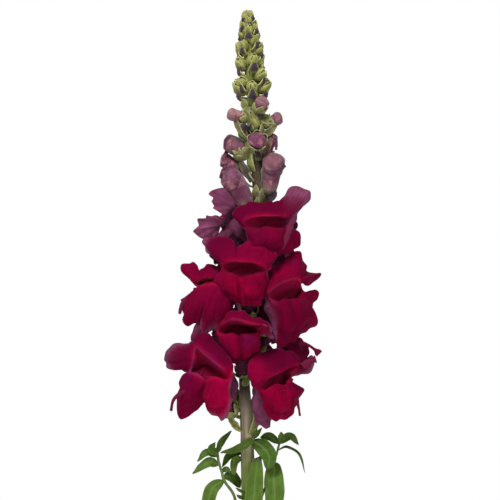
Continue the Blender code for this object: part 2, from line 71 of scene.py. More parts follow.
# One open flower, in mm at size 1
TUBE_WIDTH = [(0.0, 2.9), (0.18, 3.2), (0.32, 5.6), (0.60, 6.3), (0.88, 6.7), (1.0, 8.0)]
TUBE_HEIGHT = [(0.0, 2.9), (0.18, 3.2), (0.32, 5.6), (0.60, 6.2), (0.88, 6.2), (1.0, 6.0)]
TUBE_POUCH = [(0.0, 0.0), (0.18, 0.1), (0.34, 1.9), (0.60, 0.5), (0.90, 0.0)]
TUBE_START_REACH = 0.42
TUBE_END_REACH = 0.36
STALK_RADIUS = 1.1
STALK_STRAIGHT = 0.9
STALK_LENGTH = 3.2
STALK_CLIMB = 0.55
STALK_PULL = 0.28
TUBE_LIFT = 1.3

# Open flowers: height and azimuth on the stem (0 towards the viewer, 90 to +X), middle of the mouth as
# x, y, height, azimuth and elevation of the face, roll and size
Floret = namedtuple("Floret", "height azimuth mouth face rise roll size")
FLORETS = [
    Floret(50.0, -62, (-24.0, -21.0, 76.2), -29, -4, 12, 1.0),
    Floret(46.0, 58, (20.8, -20.0, 73.5), 34, -8, -8, 0.98),
    Floret(74.0, -12, (-3.0, -23.5, 100.0), -10, -34, 0, 0.86),
    Floret(102.0, -88, (-24.5, -8.0, 127.0), -66, 0, 8, 0.92),
    Floret(109.0, -6, (-0.6, -26.5, 139.5), -4, -4, 0, 0.92),
    Floret(99.0, 76, (30.4, -12.6, 121.0), 40, -4, 10, 0.96),
    Floret(142.0, 34, (16.6, -15.5, 168.0), 20, 6, 6, 0.84),
    Floret(147.0, -84, (-16.0, -5.0, 172.0), -82, 8, 0, 0.82),
    Floret(58.0, -138, (-21.5, 18.0, 81.0), -134, -4, 0, 0.88),
    Floret(52.0, 140, (20.0, 19.0, 75.0), 140, -4, 0, 0.82),
    Floret(91.0, 178, (3.0, 25.5, 116.0), 178, -4, 0, 0.86),
    Floret(85.0, 120, (29.0, 15.5, 117.0), 118, -2, 0, 0.80),
    Floret(120.0, -138, (-10.0, 18.5, 142.0), -162, 2, 0, 0.58),
    Floret(134.0, 146, (19.5, 19.0, 157.0), 148, 4, 0, 0.82),
]
# The photograph's frame of 500 pixels, as the camera sees it
PICTURE_MIDDLE = 250.0
PIXEL = 0.6                         # mm at the stem
CAMERA_AT = (4.2, -833.3, 150.0)    # x, y and height in mm
# Lips of the open flowers, one row for each place round the mouth from its right corner over the top: a
# point of the mouth as pixel x, y and mm ahead of the mouth's plane, a point of the margin likewise, how
# far the petal between them swells in mm and how wide its mauve or pale margin is in mm
LIPS = {
    1: [
        (226, 379, 1, 233, 374, 0, 0.5, 1.5), (225, 372, 4, 233.5, 367, -2, 1.0),
        (220, 367, 5, 231, 360, -3, 1.3), (214, 362, 5, 226, 352, -4, 1.5),
        (208, 357, 5, 218, 342.5, -4, 1.5), (203, 352.5, 5, 210.5, 335.5, -4, 1.5),
        (199, 348.5, 5, 203, 333, -3, 1.2), (196.5, 346.5, 4.5, 197, 335.5, -1, 0.8, 1),
        (195.5, 347, 4, 194, 341, 0, 0.6, 1.5), (195, 349.5, 4, 188, 342.5, -1, 1, 3),
        (194.5, 352, 3.5, 180, 343, -1.5, 1.8, 4), (194, 355, 3.5, 170, 348, -3, 2.2, 5),
        (193.5, 358, 3.5, 164, 357, -4, 2.2, 6), (193, 361, 3, 164.5, 364, -5, 2, 5),
        (192.5, 364, 2.5, 171, 368.5, -4, 1.5, 3), (192, 367, 2, 181, 370.5, -2, 0.8, 2),
        (191, 370, 2, 187, 372, 0, 0.4, 1.5), (190, 372.5, 4, 180.5, 377, 0, 1.5),
        (192, 373, 6, 178, 387, -1, 3.2), (195, 374, 7.5, 179, 398, -1, 4.5, 1),
        (197.5, 375, 7.8, 180, 419.5, 0, 5.4), (200.5, 376.5, 8, 191, 415, 1, 5.6),
        (203.5, 379, 7.5, 198.5, 409, 1, 4.6, 0.8), (206, 381.5, 6, 203.5, 402.5, 1.5, 2.6, 1.6),
        (208.5, 380.5, 7, 208, 409.5, 1, 5, 1.6), (212, 378.5, 8, 214.5, 415.5, 0, 6.5, 3),
        (217, 378, 8, 221.5, 421.5, -3, 6.5, 4), (221.5, 379, 7, 227.5, 415, -4, 4.6, 3),
        (224.5, 380.5, 5, 230, 400, -4, 3, 3), (226, 380.5, 3, 231.5, 388, -2, 1.5, 3),
    ],
    2: [
        (290, 375, 2, 291, 377, 0.5, 0.5, 1.5), (292, 372, 3, 299, 376.5, -1, 1, 6),
        (294, 370, 3.5, 307, 373, -2, 1, 6), (295, 369, 4, 314, 365, -3, 1, 6),
        (295.5, 368.5, 4, 313, 357, -4, 1, 4), (296, 368, 4, 308, 357, -5, 1, 3),
        (296.5, 367.5, 4, 310, 350.5, -7, 1, 1), (297, 367, 4, 307, 343.5, -8, 1, 1),
        (297.5, 366.5, 4, 297, 339, -9, 1, 1), (298, 366, 4, 284, 345, -7, 1, 1),
        (298, 365, 4, 299, 359, 0, 0.8, 1), (297, 364.5, 4.5, 299.5, 360, 2, 0.8, 1.2),
        (291, 367, 5, 294, 352.5, 0, 1.2, 1), (285, 370, 5, 285, 349.5, -2, 1.8, 1),
        (279, 373, 5.5, 276, 349, -3, 2, 1), (273, 375.5, 5.5, 266, 350.5, -4, 2.2),
        (267, 378, 5, 256, 354, -5, 2.2), (262, 381, 4.5, 249.5, 362, -5, 2),
        (258, 383.5, 3.5, 249, 374, -4, 1.5), (256, 386, 2.5, 250, 384, -2, 0.8, 1),
        (260, 388, 2.5, 258, 392, 0, 1, 2), (264, 391, 4, 262, 402, 1, 2), (268, 389, 6, 265, 411, 2, 3.5),
        (273, 386.5, 7.5, 271, 418, 3, 5.2), (278, 385, 7.5, 278, 421, 3, 5.6),
        (282, 385.5, 6.5, 286, 420.5, 2, 4.4), (284, 386, 5.5, 292, 413, 1, 3),
        (286, 385, 5.5, 296, 405, -1, 3.5), (287, 383, 5, 299.5, 398, -2, 3, 1),
        (288, 381.5, 4.5, 304.5, 390.5, -3, 2.5), (289, 380, 4, 297, 387, -4, 2, 1),
        (289.5, 378.5, 3, 292, 383, -2, 1.2), (290, 377, 2.5, 291, 379.5, 0, 0.6),
    ],
    3: [
        (258, 330, 2, 259, 334, 0, 0.5), (262, 327, 4, 267, 337, 1, 1, 4),
        (264, 326, 4.5, 273, 338, 1, 1, 4), (264, 325, 5, 272, 330, 0, 1, 3),
        (260, 324.5, 6, 267, 322.5, -2, 1, 1.2), (254, 324, 7, 258, 317, -4, 1, 1),
        (247, 322.5, 8, 248, 314, -5, 1, 1), (240, 320.5, 8, 240, 311.5, -5, 1, 1),
        (235, 319.5, 7, 233, 310.5, -5, 0.8, 1), (231, 320, 6.5, 228, 311, -5, 0.6, 1),
        (227, 321.5, 3, 221, 314, -8, 0.5), (223, 323.5, 1, 215, 318, -9, 0.5),
        (220, 326, -1, 211, 324, -9, 0.6, 2), (218, 329, -1, 211, 330, -8, 0.6, 2),
        (218, 332, 0, 214, 334, -4, 0.5, 2), (219, 334, 3, 219, 339, 0, 1), (222, 335, 5, 221, 346, 1, 2.5),
        (226, 335, 7, 225, 353, 2, 4), (231, 334, 8.5, 231, 359, 2, 5.2), (236, 335, 8.5, 237, 363, 2, 5),
        (240, 337, 7.5, 243, 365, 1, 3.4), (244, 335, 8.5, 248, 365, 0, 5.2),
        (248, 334.5, 8, 253, 361, -1, 4.2), (252, 334, 6, 258, 356, -2, 3),
        (255, 333, 4, 262.5, 349, -3, 1.8), (257, 332, 3, 259, 341, -1, 0.8),
    ],
    4: [
        (225, 285, 10, 229, 284, 8, 0.3, 1.5), (220, 281, 13, 227, 275, 8, 1),
        (215, 279, 14, 222, 266.5, 8, 1.2), (210, 278, 14, 213, 264.5, 7, 1.2),
        (205, 278, 13, 206, 266.5, 6, 1), (202, 279, 12, 200, 270, 6, 0.6),
        (200, 280, 10, 197, 264.5, 2, 1), (198, 281, 9, 191, 262.5, 0, 1.2),
        (196, 282, 8, 181.5, 265, -2, 1.2, 1), (195, 283, 7, 187, 276, -1, 1, 1.2),
        (196, 284.5, 7, 194, 284, 1, 0.8, 1), (198, 286, 8, 196, 288.5, 3, 0.4, 1.5),
        (198.5, 287, 10, 193.5, 291, 4, 0.6, 1.2), (199, 287, 12, 186.5, 296, 2, 0.8, 1),
        (199, 287, 13, 186, 301, 5, 1.5, 1), (200, 286.5, 14, 182, 309, 4, 1.8, 1),
        (202, 286, 15, 184, 316, 7, 3, 1), (204.5, 285.5, 15.5, 187, 326, 8, 4.6),
        (208, 285, 17, 195, 324, 10, 5.4), (211, 284.5, 18, 201, 321, 12, 6, 1),
        (214, 284.5, 18.5, 201, 326, 11, 6.5, 4), (216.5, 284.5, 19, 201, 337, 9, 6.5, 4),
        (219, 284.5, 19, 208, 333, 12, 7, 4), (222, 285, 18.5, 215, 331, 13, 7, 4),
        (224, 285.5, 17.5, 224, 328, 13, 6.5, 3), (226, 286, 16, 232, 318, 13, 5.5, 2),
        (227, 287, 14, 234, 306, 11, 4, 1), (227, 286, 12, 233, 293, 8, 2, 1),
    ],
    5: [
        (264, 271, 2, 268, 272, 0, 0.3, 2), (264, 267.5, 4, 270, 266, -1, 0.8, 1.5),
        (259, 264.5, 5, 278, 257, -3, 1), (255, 263, 5.5, 273, 251, -4, 1.2),
        (251, 262, 6, 266, 243.5, -5, 1.5), (247, 262, 6, 256, 243, -5, 1.5),
        (243, 262, 6, 245, 242.5, -4, 1.4), (239, 262, 5.5, 236.5, 246, -1, 0.8),
        (236, 261.5, 6, 232, 240, -4, 1.4), (232, 261.5, 6, 222, 237, -5, 1.5),
        (229, 261.5, 5.5, 211, 236.5, -5, 1.5, 1.5), (226, 262, 5, 202, 241, -5, 1.3, 3.4),
        (224, 263, 4, 205, 249, -4, 1.1, 3.4), (223, 265, 3, 213, 255.5, -2, 0.8, 2.4),
        (223, 268, 2, 220, 263, -1, 0.4, 1.5), (223, 272, 3, 219, 271, 0, 0.5),
        (224, 275, 5.5, 215, 282, -1, 2.4), (228, 275, 8, 219, 294, -1, 5),
        (232, 275.5, 8.5, 229, 300, 0, 5.6), (236, 277, 7.5, 237, 302.5, 1, 4.6),
        (239, 279, 6, 242, 307, 1, 2.4, 1), (242, 279.5, 6, 244.5, 305, 3, 2.6, 1),
        (246, 278, 7.5, 248, 306, 4, 5.4), (250, 277, 8, 254, 307, 4, 5.8),
        (254, 277, 7, 260.5, 304, 3, 4.4), (257, 277, 6, 265, 296, 1, 2.6),
        (260, 276, 5, 269, 288, -1, 1.4), (262, 274, 3.5, 270, 280, -1, 0.8, 2),
    ],
    6: [
        (301, 288, 2, 303, 291, 0, 0.3), (300, 284, 3, 302, 282, -1, 0.4),
        (300, 282, 3.5, 310, 284, -4, 0.6), (300, 281, 4, 321, 273, -6, 1, 1),
        (299, 280, 4, 308, 271, -5, 1), (298, 279, 4, 305, 264, -4, 1.2),
        (295, 278.5, 4.5, 300.5, 252, -5, 1.8), (291, 279, 5, 292, 254, -6, 2.2),
        (287, 280.5, 5.5, 284, 258, -6, 2.2), (283, 282, 5.5, 276, 263.5, -6, 2),
        (279, 284, 5.5, 270, 268, -6, 1.8), (275, 287, 5, 265, 275, -6, 1.5),
        (271, 290, 4.5, 262, 284, -5, 1), (269, 293, 4, 262, 291, -3, 0.6, 2),
        (270, 297, 3, 264, 298, -2, 0.4, 3), (272, 300, 4, 265, 306, -2, 1, 5),
        (275, 302, 5.5, 268, 318, -1, 1.5, 7), (279, 302, 7.5, 272, 331, 0, 3, 6),
        (282.5, 300.5, 8.5, 277, 345, 1, 5.4, 1), (286.5, 299.5, 8.5, 284, 346, 1, 6),
        (290.5, 300.5, 7.6, 291, 343, 1, 4.6), (294.5, 299.5, 8.5, 297.5, 339, 0, 6),
        (298, 299, 8, 303, 334, -1, 5.2), (301, 299, 6.5, 310.5, 328, -3, 3.8, 1),
        (303, 299, 5, 316.5, 322, -4, 2.4, 1), (304, 299, 4.5, 314, 310, -3, 1.5, 1),
        (304, 298, 4, 313, 303, -3, 1), (304, 297, 3.5, 318.5, 297, -5, 0.8, 1),
        (303, 295, 3, 315, 289.5, -4, 0.5, 1), (302, 292, 2.5, 305, 293, -1, 0.3),
    ],
    7: [
        (288, 225, 2, 292, 226, 0, 0.3, 4), (289, 221, 3, 297, 217, -2, 0.5, 10),
        (289, 218, 4, 302, 206, -4, 1, 12), (288, 217, 4.5, 311, 198, -6, 1, 12),
        (286, 216.5, 5, 308.5, 189.5, -7, 1, 12), (284, 216, 5, 297, 186.5, -7, 1, 12),
        (281, 216, 5.5, 287.5, 191.5, -6, 1, 7), (278, 216, 6, 280.5, 199, -5, 1.2),
        (273, 216, 6, 275, 201, -5, 1.4), (268, 216, 6, 266, 202.5, -4, 1),
        (262, 216, 6, 257, 202.5, -5, 1.4), (257, 216.5, 5.5, 247, 204, -5, 1.5),
        (252, 217.5, 5, 239, 205, -5, 1.4), (248, 219, 4.5, 234.5, 209, -5, 1.2),
        (245, 221, 4, 234, 216, -4, 1), (244, 223, 3.5, 236, 221, -2, 0.6),
        (246, 227, 2.5, 243, 228, -1, 0.3, 2), (248, 231, 3, 246, 236, 0, 0.5, 2),
        (252, 234, 3.5, 249, 244, 1, 1), (257, 233.5, 4.5, 253, 250, 2, 2.4),
        (262, 230, 6.5, 259, 255, 2, 4.2), (267, 228.5, 8, 266, 257, 2, 5.4),
        (272, 228.5, 8.5, 273, 257, 1, 5.6), (277, 230, 7.6, 280, 255, 0, 4.6),
        (281, 232, 5.5, 287, 253.5, -2, 2.4), (284, 232, 4, 294, 251.5, -4, 1.5),
        (286, 231, 3.5, 299, 244, -5, 1), (287, 230, 3, 298.5, 232, -5, 0.5),
        (288, 229, 2.5, 293, 229, -2, 0.3, 3),
    ],
    8: [
        (226, 217, 7, 227, 218, 8, 0, 3), (228, 214, 7.5, 222, 214, 10, 0.3, 12),
        (229.5, 212, 7.5, 213, 208, 12, 0.8, 12), (230.5, 210, 7, 217, 206, 12, 1, 12),
        (231.5, 208.5, 6.5, 211, 202, 12, 1, 12), (232.5, 207, 6, 214, 197, 11.5, 1, 12),
        (233.5, 206, 5.5, 208.5, 194.5, 10.5, 1, 8), (234.5, 205, 4.5, 212, 190.5, 9.5, 1, 8),
        (235.5, 204.5, 3.5, 220, 188, 8, 1, 12), (236.5, 204, 2, 228, 187.5, 5, 0.8, 12),
        (237.5, 204, 0, 233, 195, 1, 0.5, 12), (237, 205, -2, 229, 189, -4, 0.5),
        (236, 207, -4, 221, 189, -8, 0.5), (234, 210, -5.5, 214, 193, -11, 0.5),
        (231, 213, -6, 213, 202, -12, 0.5), (228, 216, -6, 218, 210, -11, 0.5),
        (225, 219, -6, 222, 216, -8, 0.3), (222, 222, -5, 213, 221, -10, 0.6),
        (220, 224.5, -4, 205, 222, -10, 1), (219, 226, -2, 201, 230, -7, 1.2),
        (219, 227, 0, 203, 237, -1, 1.2), (220, 227, 2, 216, 241, 4, 1.2, 3),
        (219.5, 226.5, 4, 203, 239, 8, 1, 12), (219.5, 226, 5, 196, 234.5, 10, 0.8, 12),
        (220, 225.5, 5.5, 193, 230.5, 10.5, 0.8, 12), (221, 225, 6, 199, 226, 10, 0.6, 12),
        (222, 224, 6.5, 197.5, 219, 10.5, 0.6, 12), (223, 222.5, 7, 206, 218, 10, 0.5, 8),
        (224, 221, 7, 213, 216, 10, 0.4, 4), (225, 219.5, 7, 218, 217, 10, 0.3, 8),
        (225.5, 218, 7, 222, 217.5, 9.5, 0.2, 8),
    ],
}
# Flowers seen from the side: their third numbers are mm nearer to the viewer than the mouth's middle
SEEN_FROM_THE_SIDE = (4, 8)
SWELL = 1.2                         # where a row doesn't give it
RIM = 0.6
# Curled pieces of petal: points as pixel x, y and mm nearer than the mouth's middle, widths in pixels,
# how mauve they are and how much painted shade they carry
PETAL_FLAPS = {
    1: [
        ([(186, 391, 5), (178, 395, 5), (173, 401, 5), (171, 411, 4)],
         (4, 3.4, 2.6, 2.2), 0.35, 0.7),
        ([(226, 369, -3), (231.5, 383, -4), (229.5, 399, -3)],
         (4, 13, 10), 0.95, 0.4),
    ],
    2: [
        ([(298, 343, -5), (307, 344.5, -5), (314, 349, -5), (317, 351.5, -5), (319.5, 354, -5)],
         (6, 2.6, 2.2, 6, 7), 0.2, 0.8),
        ([(303, 367, -1), (310, 361, -1), (316, 359, -1)],
         (9, 5, 7), 0.5, 0.6),
        ([(259, 390, -8), (260, 407, -8), (264, 419, -8), (268, 428, -8)],
         (11, 15, 15, 4), 1, 0.15),
        ([(296, 398, 2), (298.5, 407, 2), (300, 416, 2)],
         (5, 2, 1.6), 0.3, 0.8),
    ],
    3: [
        ([(250, 319, 3), (260, 325, 5), (267, 330, 5), (271.5, 338, 4)],
         (3, 5, 6, 4), 0.85, 0.1),
        ([(243, 350, -4), (243, 362, -5), (243, 374, -6)],
         (17, 12, 6), 1, 0.6),
    ],
    4: [
        ([(196, 294, 4), (188, 297.5, 5), (181, 301, 5)],
         (5, 4, 2.5), 0.4, 0.6),
        ([(192, 296, 5), (182.5, 304, 6), (179.5, 314, 6)],
         (6, 4, 2.5), 0.4, 0.6),
        ([(205, 316, 8), (199, 328, 9), (195, 337, 9), (195, 346, 8)],
         (8, 9, 8, 5), 0.8, 0.6),
        ([(231, 312, 4), (222, 323, 6), (206, 328, 8)],
         (6, 9, 4), 0.6, 0.75),
    ],
    6: [
        ([(266, 290, 1), (267, 315, 1), (276, 343, 1)],
         (8, 12, 9), 0.7, 0.95),
        ([(278, 342, -2), (290, 346, -2), (303, 347, -3)],
         (9, 11, 7), 0.5, 0.9),
    ],
    7: [
        ([(292.5, 219, 2.5), (290, 228, 4.5), (286, 239, 5), (282, 249, 4)],
         (3, 6, 5, 2.5), 0.6, 0.4),
    ],
    8: [
        ([(226, 222, 3), (234, 226, 4), (243, 232, 4), (249, 240, 3)],
         (10, 15, 15, 7), 1, 0.3),
        ([(232, 226, 3), (226, 234, 4), (214, 239.5, 5)],
         (10, 12, 4), 0.9, 0.3),
        ([(222, 221, 9), (213, 218.5, 9), (206, 217, 9)],
         (4, 3.5, 3), 0.7, 0.5),
    ],
}
# Folded lips and sepals on the buds: points as pixel x, y and mm over the bud's skin, widths in pixels,
# how leafy, dark and red they are
BUD_FLAPS = {
    1: [
        ([(237, 167, 0.6), (230, 169, 1), (224, 173, 1), (220.5, 179, 0.6)],
         (4, 9, 8, 3), 0, 0.12, 0),
    ],
    2: [
        ([(263, 169, 0.3), (270, 172, 0.5), (279, 171, 0.5), (285.5, 165, 0.4)],
         (2, 3, 3.5, 2.5), 0, 0.75, 0),
    ],
    3: [
        ([(226, 148, 0.3), (226, 141, 0.6), (230, 137, 0.6)],
         (4, 4.5, 3), 0, 0.55, 0.6),
        ([(229, 136, 0.5), (238, 139, 0.6), (247, 145, 0.5)],
         (3, 3.5, 3), 1, 0.7, 0),
        ([(236, 149, 0.5), (238, 154, 0.8), (237, 160, 0.5)],
         (8, 7, 3), 1, 0, 0),
    ],
    4: [
        ([(227, 151, 0.4), (224, 158, 0.6), (222, 166, 0.4)],
         (4, 3.5, 2.5), 0, 0.3, 1),
    ],
    5: [
        ([(275.5, 137, 0.4), (276.5, 143, 0.6), (276, 150, 0.4)],
         (2, 2.5, 2), 0, 0, 0),
    ],
}
# Bracts beside the buds that show their broad side, likewise, but in mm nearer than the stem's axis
BUD_LEAVES = {
    1: [
        ([(240, 162, 5), (245, 170, 6), (252, 182, 3)],
         (3, 9, 4), 1, 0.75, 0),
    ],
    2: [
        ([(264, 167, 5), (263, 180, 5), (263, 192, 3)],
         (3, 4, 3), 1, 0.6, 0),
    ],
    3: [
        ([(245, 143, 5), (248, 152, 6), (252, 164, 3)],
         (5, 10, 4), 1, 0.3, 0),
    ],
    5: [
        ([(272, 138, 4), (267, 146, 6), (262, 158, 3)],
         (3, 9, 6), 0.35, 0.1, 0.3),
    ],
    7: [
        ([(259, 114, 2.5), (266, 119, 5), (273, 125, 5)],
         (6, 10, 5), 1, 0, 0),
        ([(276, 126, 4), (270, 131, 5), (261, 138, 2.5)],
         (3, 7, 5), 1, 0.45, 0),
    ],
    8: [
        ([(235, 121, 5), (241, 130, 6), (251, 143, 3)],
         (4, 8, 4), 1, 0.45, 0),
        ([(249, 106, 4), (246, 114, 6), (251, 126, 3)],
         (4, 9, 4), 1, 0.1, 0),
        ([(242, 124, 6), (245, 127, 7), (249, 134, 4)],
         (4, 6, 3), 1, 1, 0),
    ],
    9: [
        ([(245, 98, 3), (244, 104, 5), (250, 115, 3)],
         (4, 7, 4), 1, 0.3, 0),
        ([(254, 106, 6), (258, 109, 6.5), (262, 113, 5)],
         (3, 5, 4), 1, 0.9, 0),
        ([(257, 112, 6), (261, 115, 6.5), (264, 119, 5)],
         (3, 5, 4), 1, 0.9, 0),
    ],
}
# Bracts that show their broad side: points and widths as for the buds, and how dark they are
CALYX_FLAPS = {
    1: [
        ([(240, 430, 4), (235, 425, 7), (231, 420, 9), (229, 415, 9)],
         (3, 7, 5, 1.5), 0.1),
        ([(227, 418, 9), (232, 414, 9), (238, 408, 8)],
         (4, 9, 7), 0.55),
        ([(229, 396, 4), (233, 404, 5), (239, 412, 3)],
         (5, 9, 5), 0.35),
    ],
    7: [
        ([(276, 192, 8), (274, 197, 8), (269, 200, 8)],
         (2.5, 4, 5), 1),
    ],
}
# Half of a flower that nothing shows from the front, at size 1; the other half is its mirror
PLAIN_HALF = [
    (8.5, -0.5, 1.5, 10.0, 0.0, 0.0, 0.0, 0.3, 1.0), (8.6, 2.4, 3.5, 15.5, 2.0, -3.0, 0.0, 0.8, 0.8),
    (8.0, 4.6, 4.8, 22.0, 9.0, -6.5, 0.0, 1.2, 0.8), (6.6, 6.4, 5.6, 22.5, 17.0, -8.0, 0.0, 1.4, 0.8),
    (4.8, 7.4, 6.0, 17.0, 23.0, -8.0, 0.0, 1.5, 0.8), (2.8, 7.8, 6.2, 9.0, 25.0, -7.0, 0.0, 1.4, 0.8),
    (1.2, 7.9, 6.2, 3.0, 20.0, -4.0, 0.0, 1.0, 0.8), (0.0, 7.9, 6.0, 0.0, 13.5, 0.0, 0.0, 0.8, 0.8),
]
PLAIN_LOW = [
    (8.0, -2.2, 3.0, 12.0, -5.0, 0.0, 0.0, 1.0, 0.8), (7.4, -2.4, 5.0, 18.5, -10.0, -3.0, 0.0, 2.0, 0.8),
    (6.2, -2.0, 7.0, 18.0, -17.5, -4.0, 0.0, 3.5, 0.8), (4.6, -1.8, 8.0, 12.0, -19.5, -2.0, 0.0, 4.6, 0.8),
    (3.0, -2.2, 8.2, 7.5, -16.0, 1.0, 0.0, 4.6, 0.8), (1.5, -2.8, 7.6, 5.5, -22.0, 0.0, 0.0, 4.0, 0.8),
    (0.0, -3.4, 7.0, 0.0, -24.5, -1.0, 0.0, 3.4, 0.8),
]
# How far the middle of a tube is pushed aside, as x, y, height in mm
TUBE_BEND = {2: (-5.0, -5.0, -7.0), 6: (4.0, -2.0, 4.0)}
# Painted shade on the flowers' petals: upper lip, lower lip, and more to the right of the upper and of the lower
# lip; less than nothing is a painted highlight
TONES = {1: (0.85, -0.70, 0.25, 0.45), 2: (1.0, 0.0, -0.05, 0.0), 3: (0.65, -0.1, 0.0, 0.0),
         4: (0.62, 0.2, -0.1, 0.0), 5: (0.72, 0.0, -0.55, 0.2), 6: (0.50, 0.40, 0.0, 0.1),
         7: (1.0, 0.55, 0.0, 0.0), 8: (0.62, 0.0, 0.0, 0.0)}
PLAIN_TONE = (0.62, 0.0, 0.0, 0.0)
# Smaller sepals, where a petal's back hides them
SEPAL_SIZE = {3: 0.7, 6: 0.75}
# How clearly the fold over a flower's mouth shows as a pale line
FOLD_LINES = {1: 0.9, 2: 0.35, 3: 0.8, 4: 0.5, 5: 0.3, 6: 0.8, 7: 0.35, 8: 0.2}
# Bracts under the open flowers: turn from the flower's azimuth, drop, elevation, length, width, dark back
CALYX_BRACTS = {1: (-6, 8.5, 46, 10.5, 5.0, 0.0), 2: (-22, 5.5, 66, 15.0, 5.6, 0.5), 3: (20, 5.0, 55, 8.0, 4.4, 0.3),
                4: (30, 4.0, 60, 9.0, 4.4, 0.4)}
# How much of the tube's curve a flower has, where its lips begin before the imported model's mouth
TUBE_SHARE = {1: 0.95, 2: 0.95, 3: 0.9, 4: 0.9, 5: 0.95, 6: 0.95, 7: 0.95, 8: 0.7}

# Buds: height and azimuth on the stem, stalk length, azimuth and elevation, length, greatest radius,
# how far its end nods, how much of it the calyx covers, how ripe its colour is, how far up it is thickest
# how red it is, how dark its calyx is and how far the sepals stand off
Bud = namedtuple("Bud", "height azimuth stalk face rise length radius nod cover ripe heavy red shade flare")
BUDS = [
    Bud(169.0, -54, 4.6, -68, 68, 30.5, 6.9, 0.40, 0.15, 1.0, 0.8, 0.0, 0.5, 0.5),
    Bud(180.0, 64, 3.0, 58, 81, 26.5, 6.2, 0.0, 0.10, 0.85, 1.3, 0.05, 0.8, 0.3),
    Bud(204.5, -80, 2.5, -80, 42, 18.0, 5.6, 0.2, 0.40, 0.85, 0.3, 0.0, 0.15, 0.5),
    Bud(195.0, -104, 7.0, -88, 38, 14.5, 4.6, 0.2, 0.20, 0.95, 0.6, 0.75, 0.5, 0.3),
    Bud(205.0, 102, 2.4, 88, 72, 14.5, 3.5, 0.0, 0.35, 1.0, 0.5, 0.7, 0.3, 0.5),
    Bud(213.2, 3, 2.0, 2, 14, 9.6, 4.8, 0.0, 0.88, 1.0, 0.7, 0.0, 0.0, 1.7),
    Bud(223.5, 80, 2.2, 86, 30, 13.2, 3.8, 0.1, 0.55, 0.8, 0.7, 0.1, 0.1, 0.5),
    Bud(228.0, -74, 2.0, -76, 16, 13.4, 3.9, 0.0, 0.42, 0.6, 0.5, 0.0, 0.0, 0.5),
    Bud(232.0, 26, 1.6, 34, 44, 10.6, 3.9, 0.0, 0.66, 0.7, 0.6, 0.0, 0.0, 0.5),
    Bud(172.0, 168, 5.0, 170, 64, 23.0, 6.2, 0.3, 0.25, 0.8, 0.5, 0.1, 0.2, 0.5),
    Bud(200.0, 160, 3.0, 160, 40, 15.0, 4.8, 0.1, 0.40, 0.7, 0.5, 0.3, 0.2, 0.5),
    Bud(216.0, -148, 2.5, -150, 30, 13.0, 4.2, 0.1, 0.50, 0.6, 0.5, 0.0, 0.0, 0.5),
]
# Bracts and scale leaves at each bud: height on the stem, turn from the bud's azimuth, elevation, length,
# width and how dark the back is
BUD_BRACTS = {
    1: [(168.0, 10, 45, 9.0, 4.4, 0.7), (180.0, 30, 78, 9.0, 5.5, 0.5), (171.0, 40, 76, 11.0, 5.0, 0.6)],
    2: [(176.5, -8, 30, 7.0, 3.6, 1.0), (178.0, -44, 80, 9.0, 4.6, 0.6), (181.0, 10, 78, 8.0, 5.0, 0.6)],
    3: [(199.0, -4, 36, 8.0, 4.8, 0.2), (196.5, 34, 76, 13.0, 5.6, 0.15), (206.0, 30, 74, 9.0, 5.0, 0.2)],
    4: [(188.0, 0, 40, 8.0, 4.2, 0.8), (191.0, 40, 62, 9.0, 5.2, 0.6)],
    5: [(201.0, -24, 66, 9.5, 4.8, 0.3), (196.0, -50, 78, 11.0, 4.6, 0.5)],
    6: [(203.6, 6, 74, 6.0, 4.4, 1.0), (208.0, -26, 74, 5.0, 4.2, 1.0), (206.0, 34, 76, 6.0, 4.6, 0.2)],
    7: [(217.5, 0, 34, 8.5, 5.0, 0.5), (216.0, -32, 74, 10.0, 5.4, 0.1), (222.0, -56, 78, 8.0, 4.6, 0.0)],
    8: [(214.0, 6, 49, 17.0, 4.4, 0.6), (221.0, 16, 72, 6.5, 4.6, 1.0), (222.0, 44, 80, 11.0, 5.0, 0.0)],
    9: [(233.5, -14, 66, 5.0, 4.6, 0.9), (228.5, 4, 64, 6.0, 5.2, 1.0), (224.0, -40, 82, 12.0, 5.0, 0.0)],
    10: [(169.0, 0, 40, 9.0, 4.4, 0.7), (176.0, 30, 76, 12.0, 5.2, 0.3)],
    11: [(197.0, 0, 40, 8.0, 4.6, 0.5), (204.0, -30, 76, 11.0, 5.4, 0.2)],
    12: [(212.0, 0, 44, 9.0, 4.4, 0.8), (219.0, 30, 76, 10.0, 5.2, 0.2)],
}
BUD_STALK_RADIUS = 0.9

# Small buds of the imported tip: height and azimuth of the bract below each, and size
TIP_TOP = 294.6
TIP_BUDS = [(243.8, 0, 1.15), (243.0, -86, 1.36), (244.0, 84, 1.32), (247.0, -50, 1.05), (251.0, 60, 1.2),
            (259.5, 16, 1.15), (257.0, -68, 1.15), (265.5, 82, 1.1), (259.5, 88, 1.0), (269.0, -44, 0.9),
            (266.0, -92, 1.05), (272.0, 52, 0.95), (277.5, 0, 0.9), (275.5, -80, 0.78), (274.5, 92, 0.9),
            (281.0, -60, 0.74), (280.0, 64, 0.85), (284.0, 12, 0.7), (286.5, -50, 0.62), (287.0, 58, 0.62),
            (288.8, 0, 0.42)]
# Long bracts under the tip: height and azimuth on the stem, elevation, length, width and dark back
TIP_BRACTS = [(236.0, -24, 74, 8.0, 5.0, 0.0), (238.0, 40, 74, 8.0, 5.0, 0.0), (233.0, 172, 70, 10.0, 5.4, 0.4)]

# Dark backs of more bracts at the tip: pixel x, y, mm nearer than the stem's axis, length and width in pixels
TIP_SCALES = [(243.5, 19, 3.4, 6, 4.2), (253, 18.5, 3.6, 6, 4.2), (250.5, 25, 4.6, 6, 4.6), (257, 31, 4.6, 6, 4),
              (242, 28.5, 4.6, 6, 4), (239.5, 39, 4.6, 5, 3.6), (262, 55, 5.2, 6, 4), (240.5, 70, 6.0, 7, 5),
              (238.5, 96, 6.5, 8, 5), (265.5, 94, 6.5, 7, 4)]

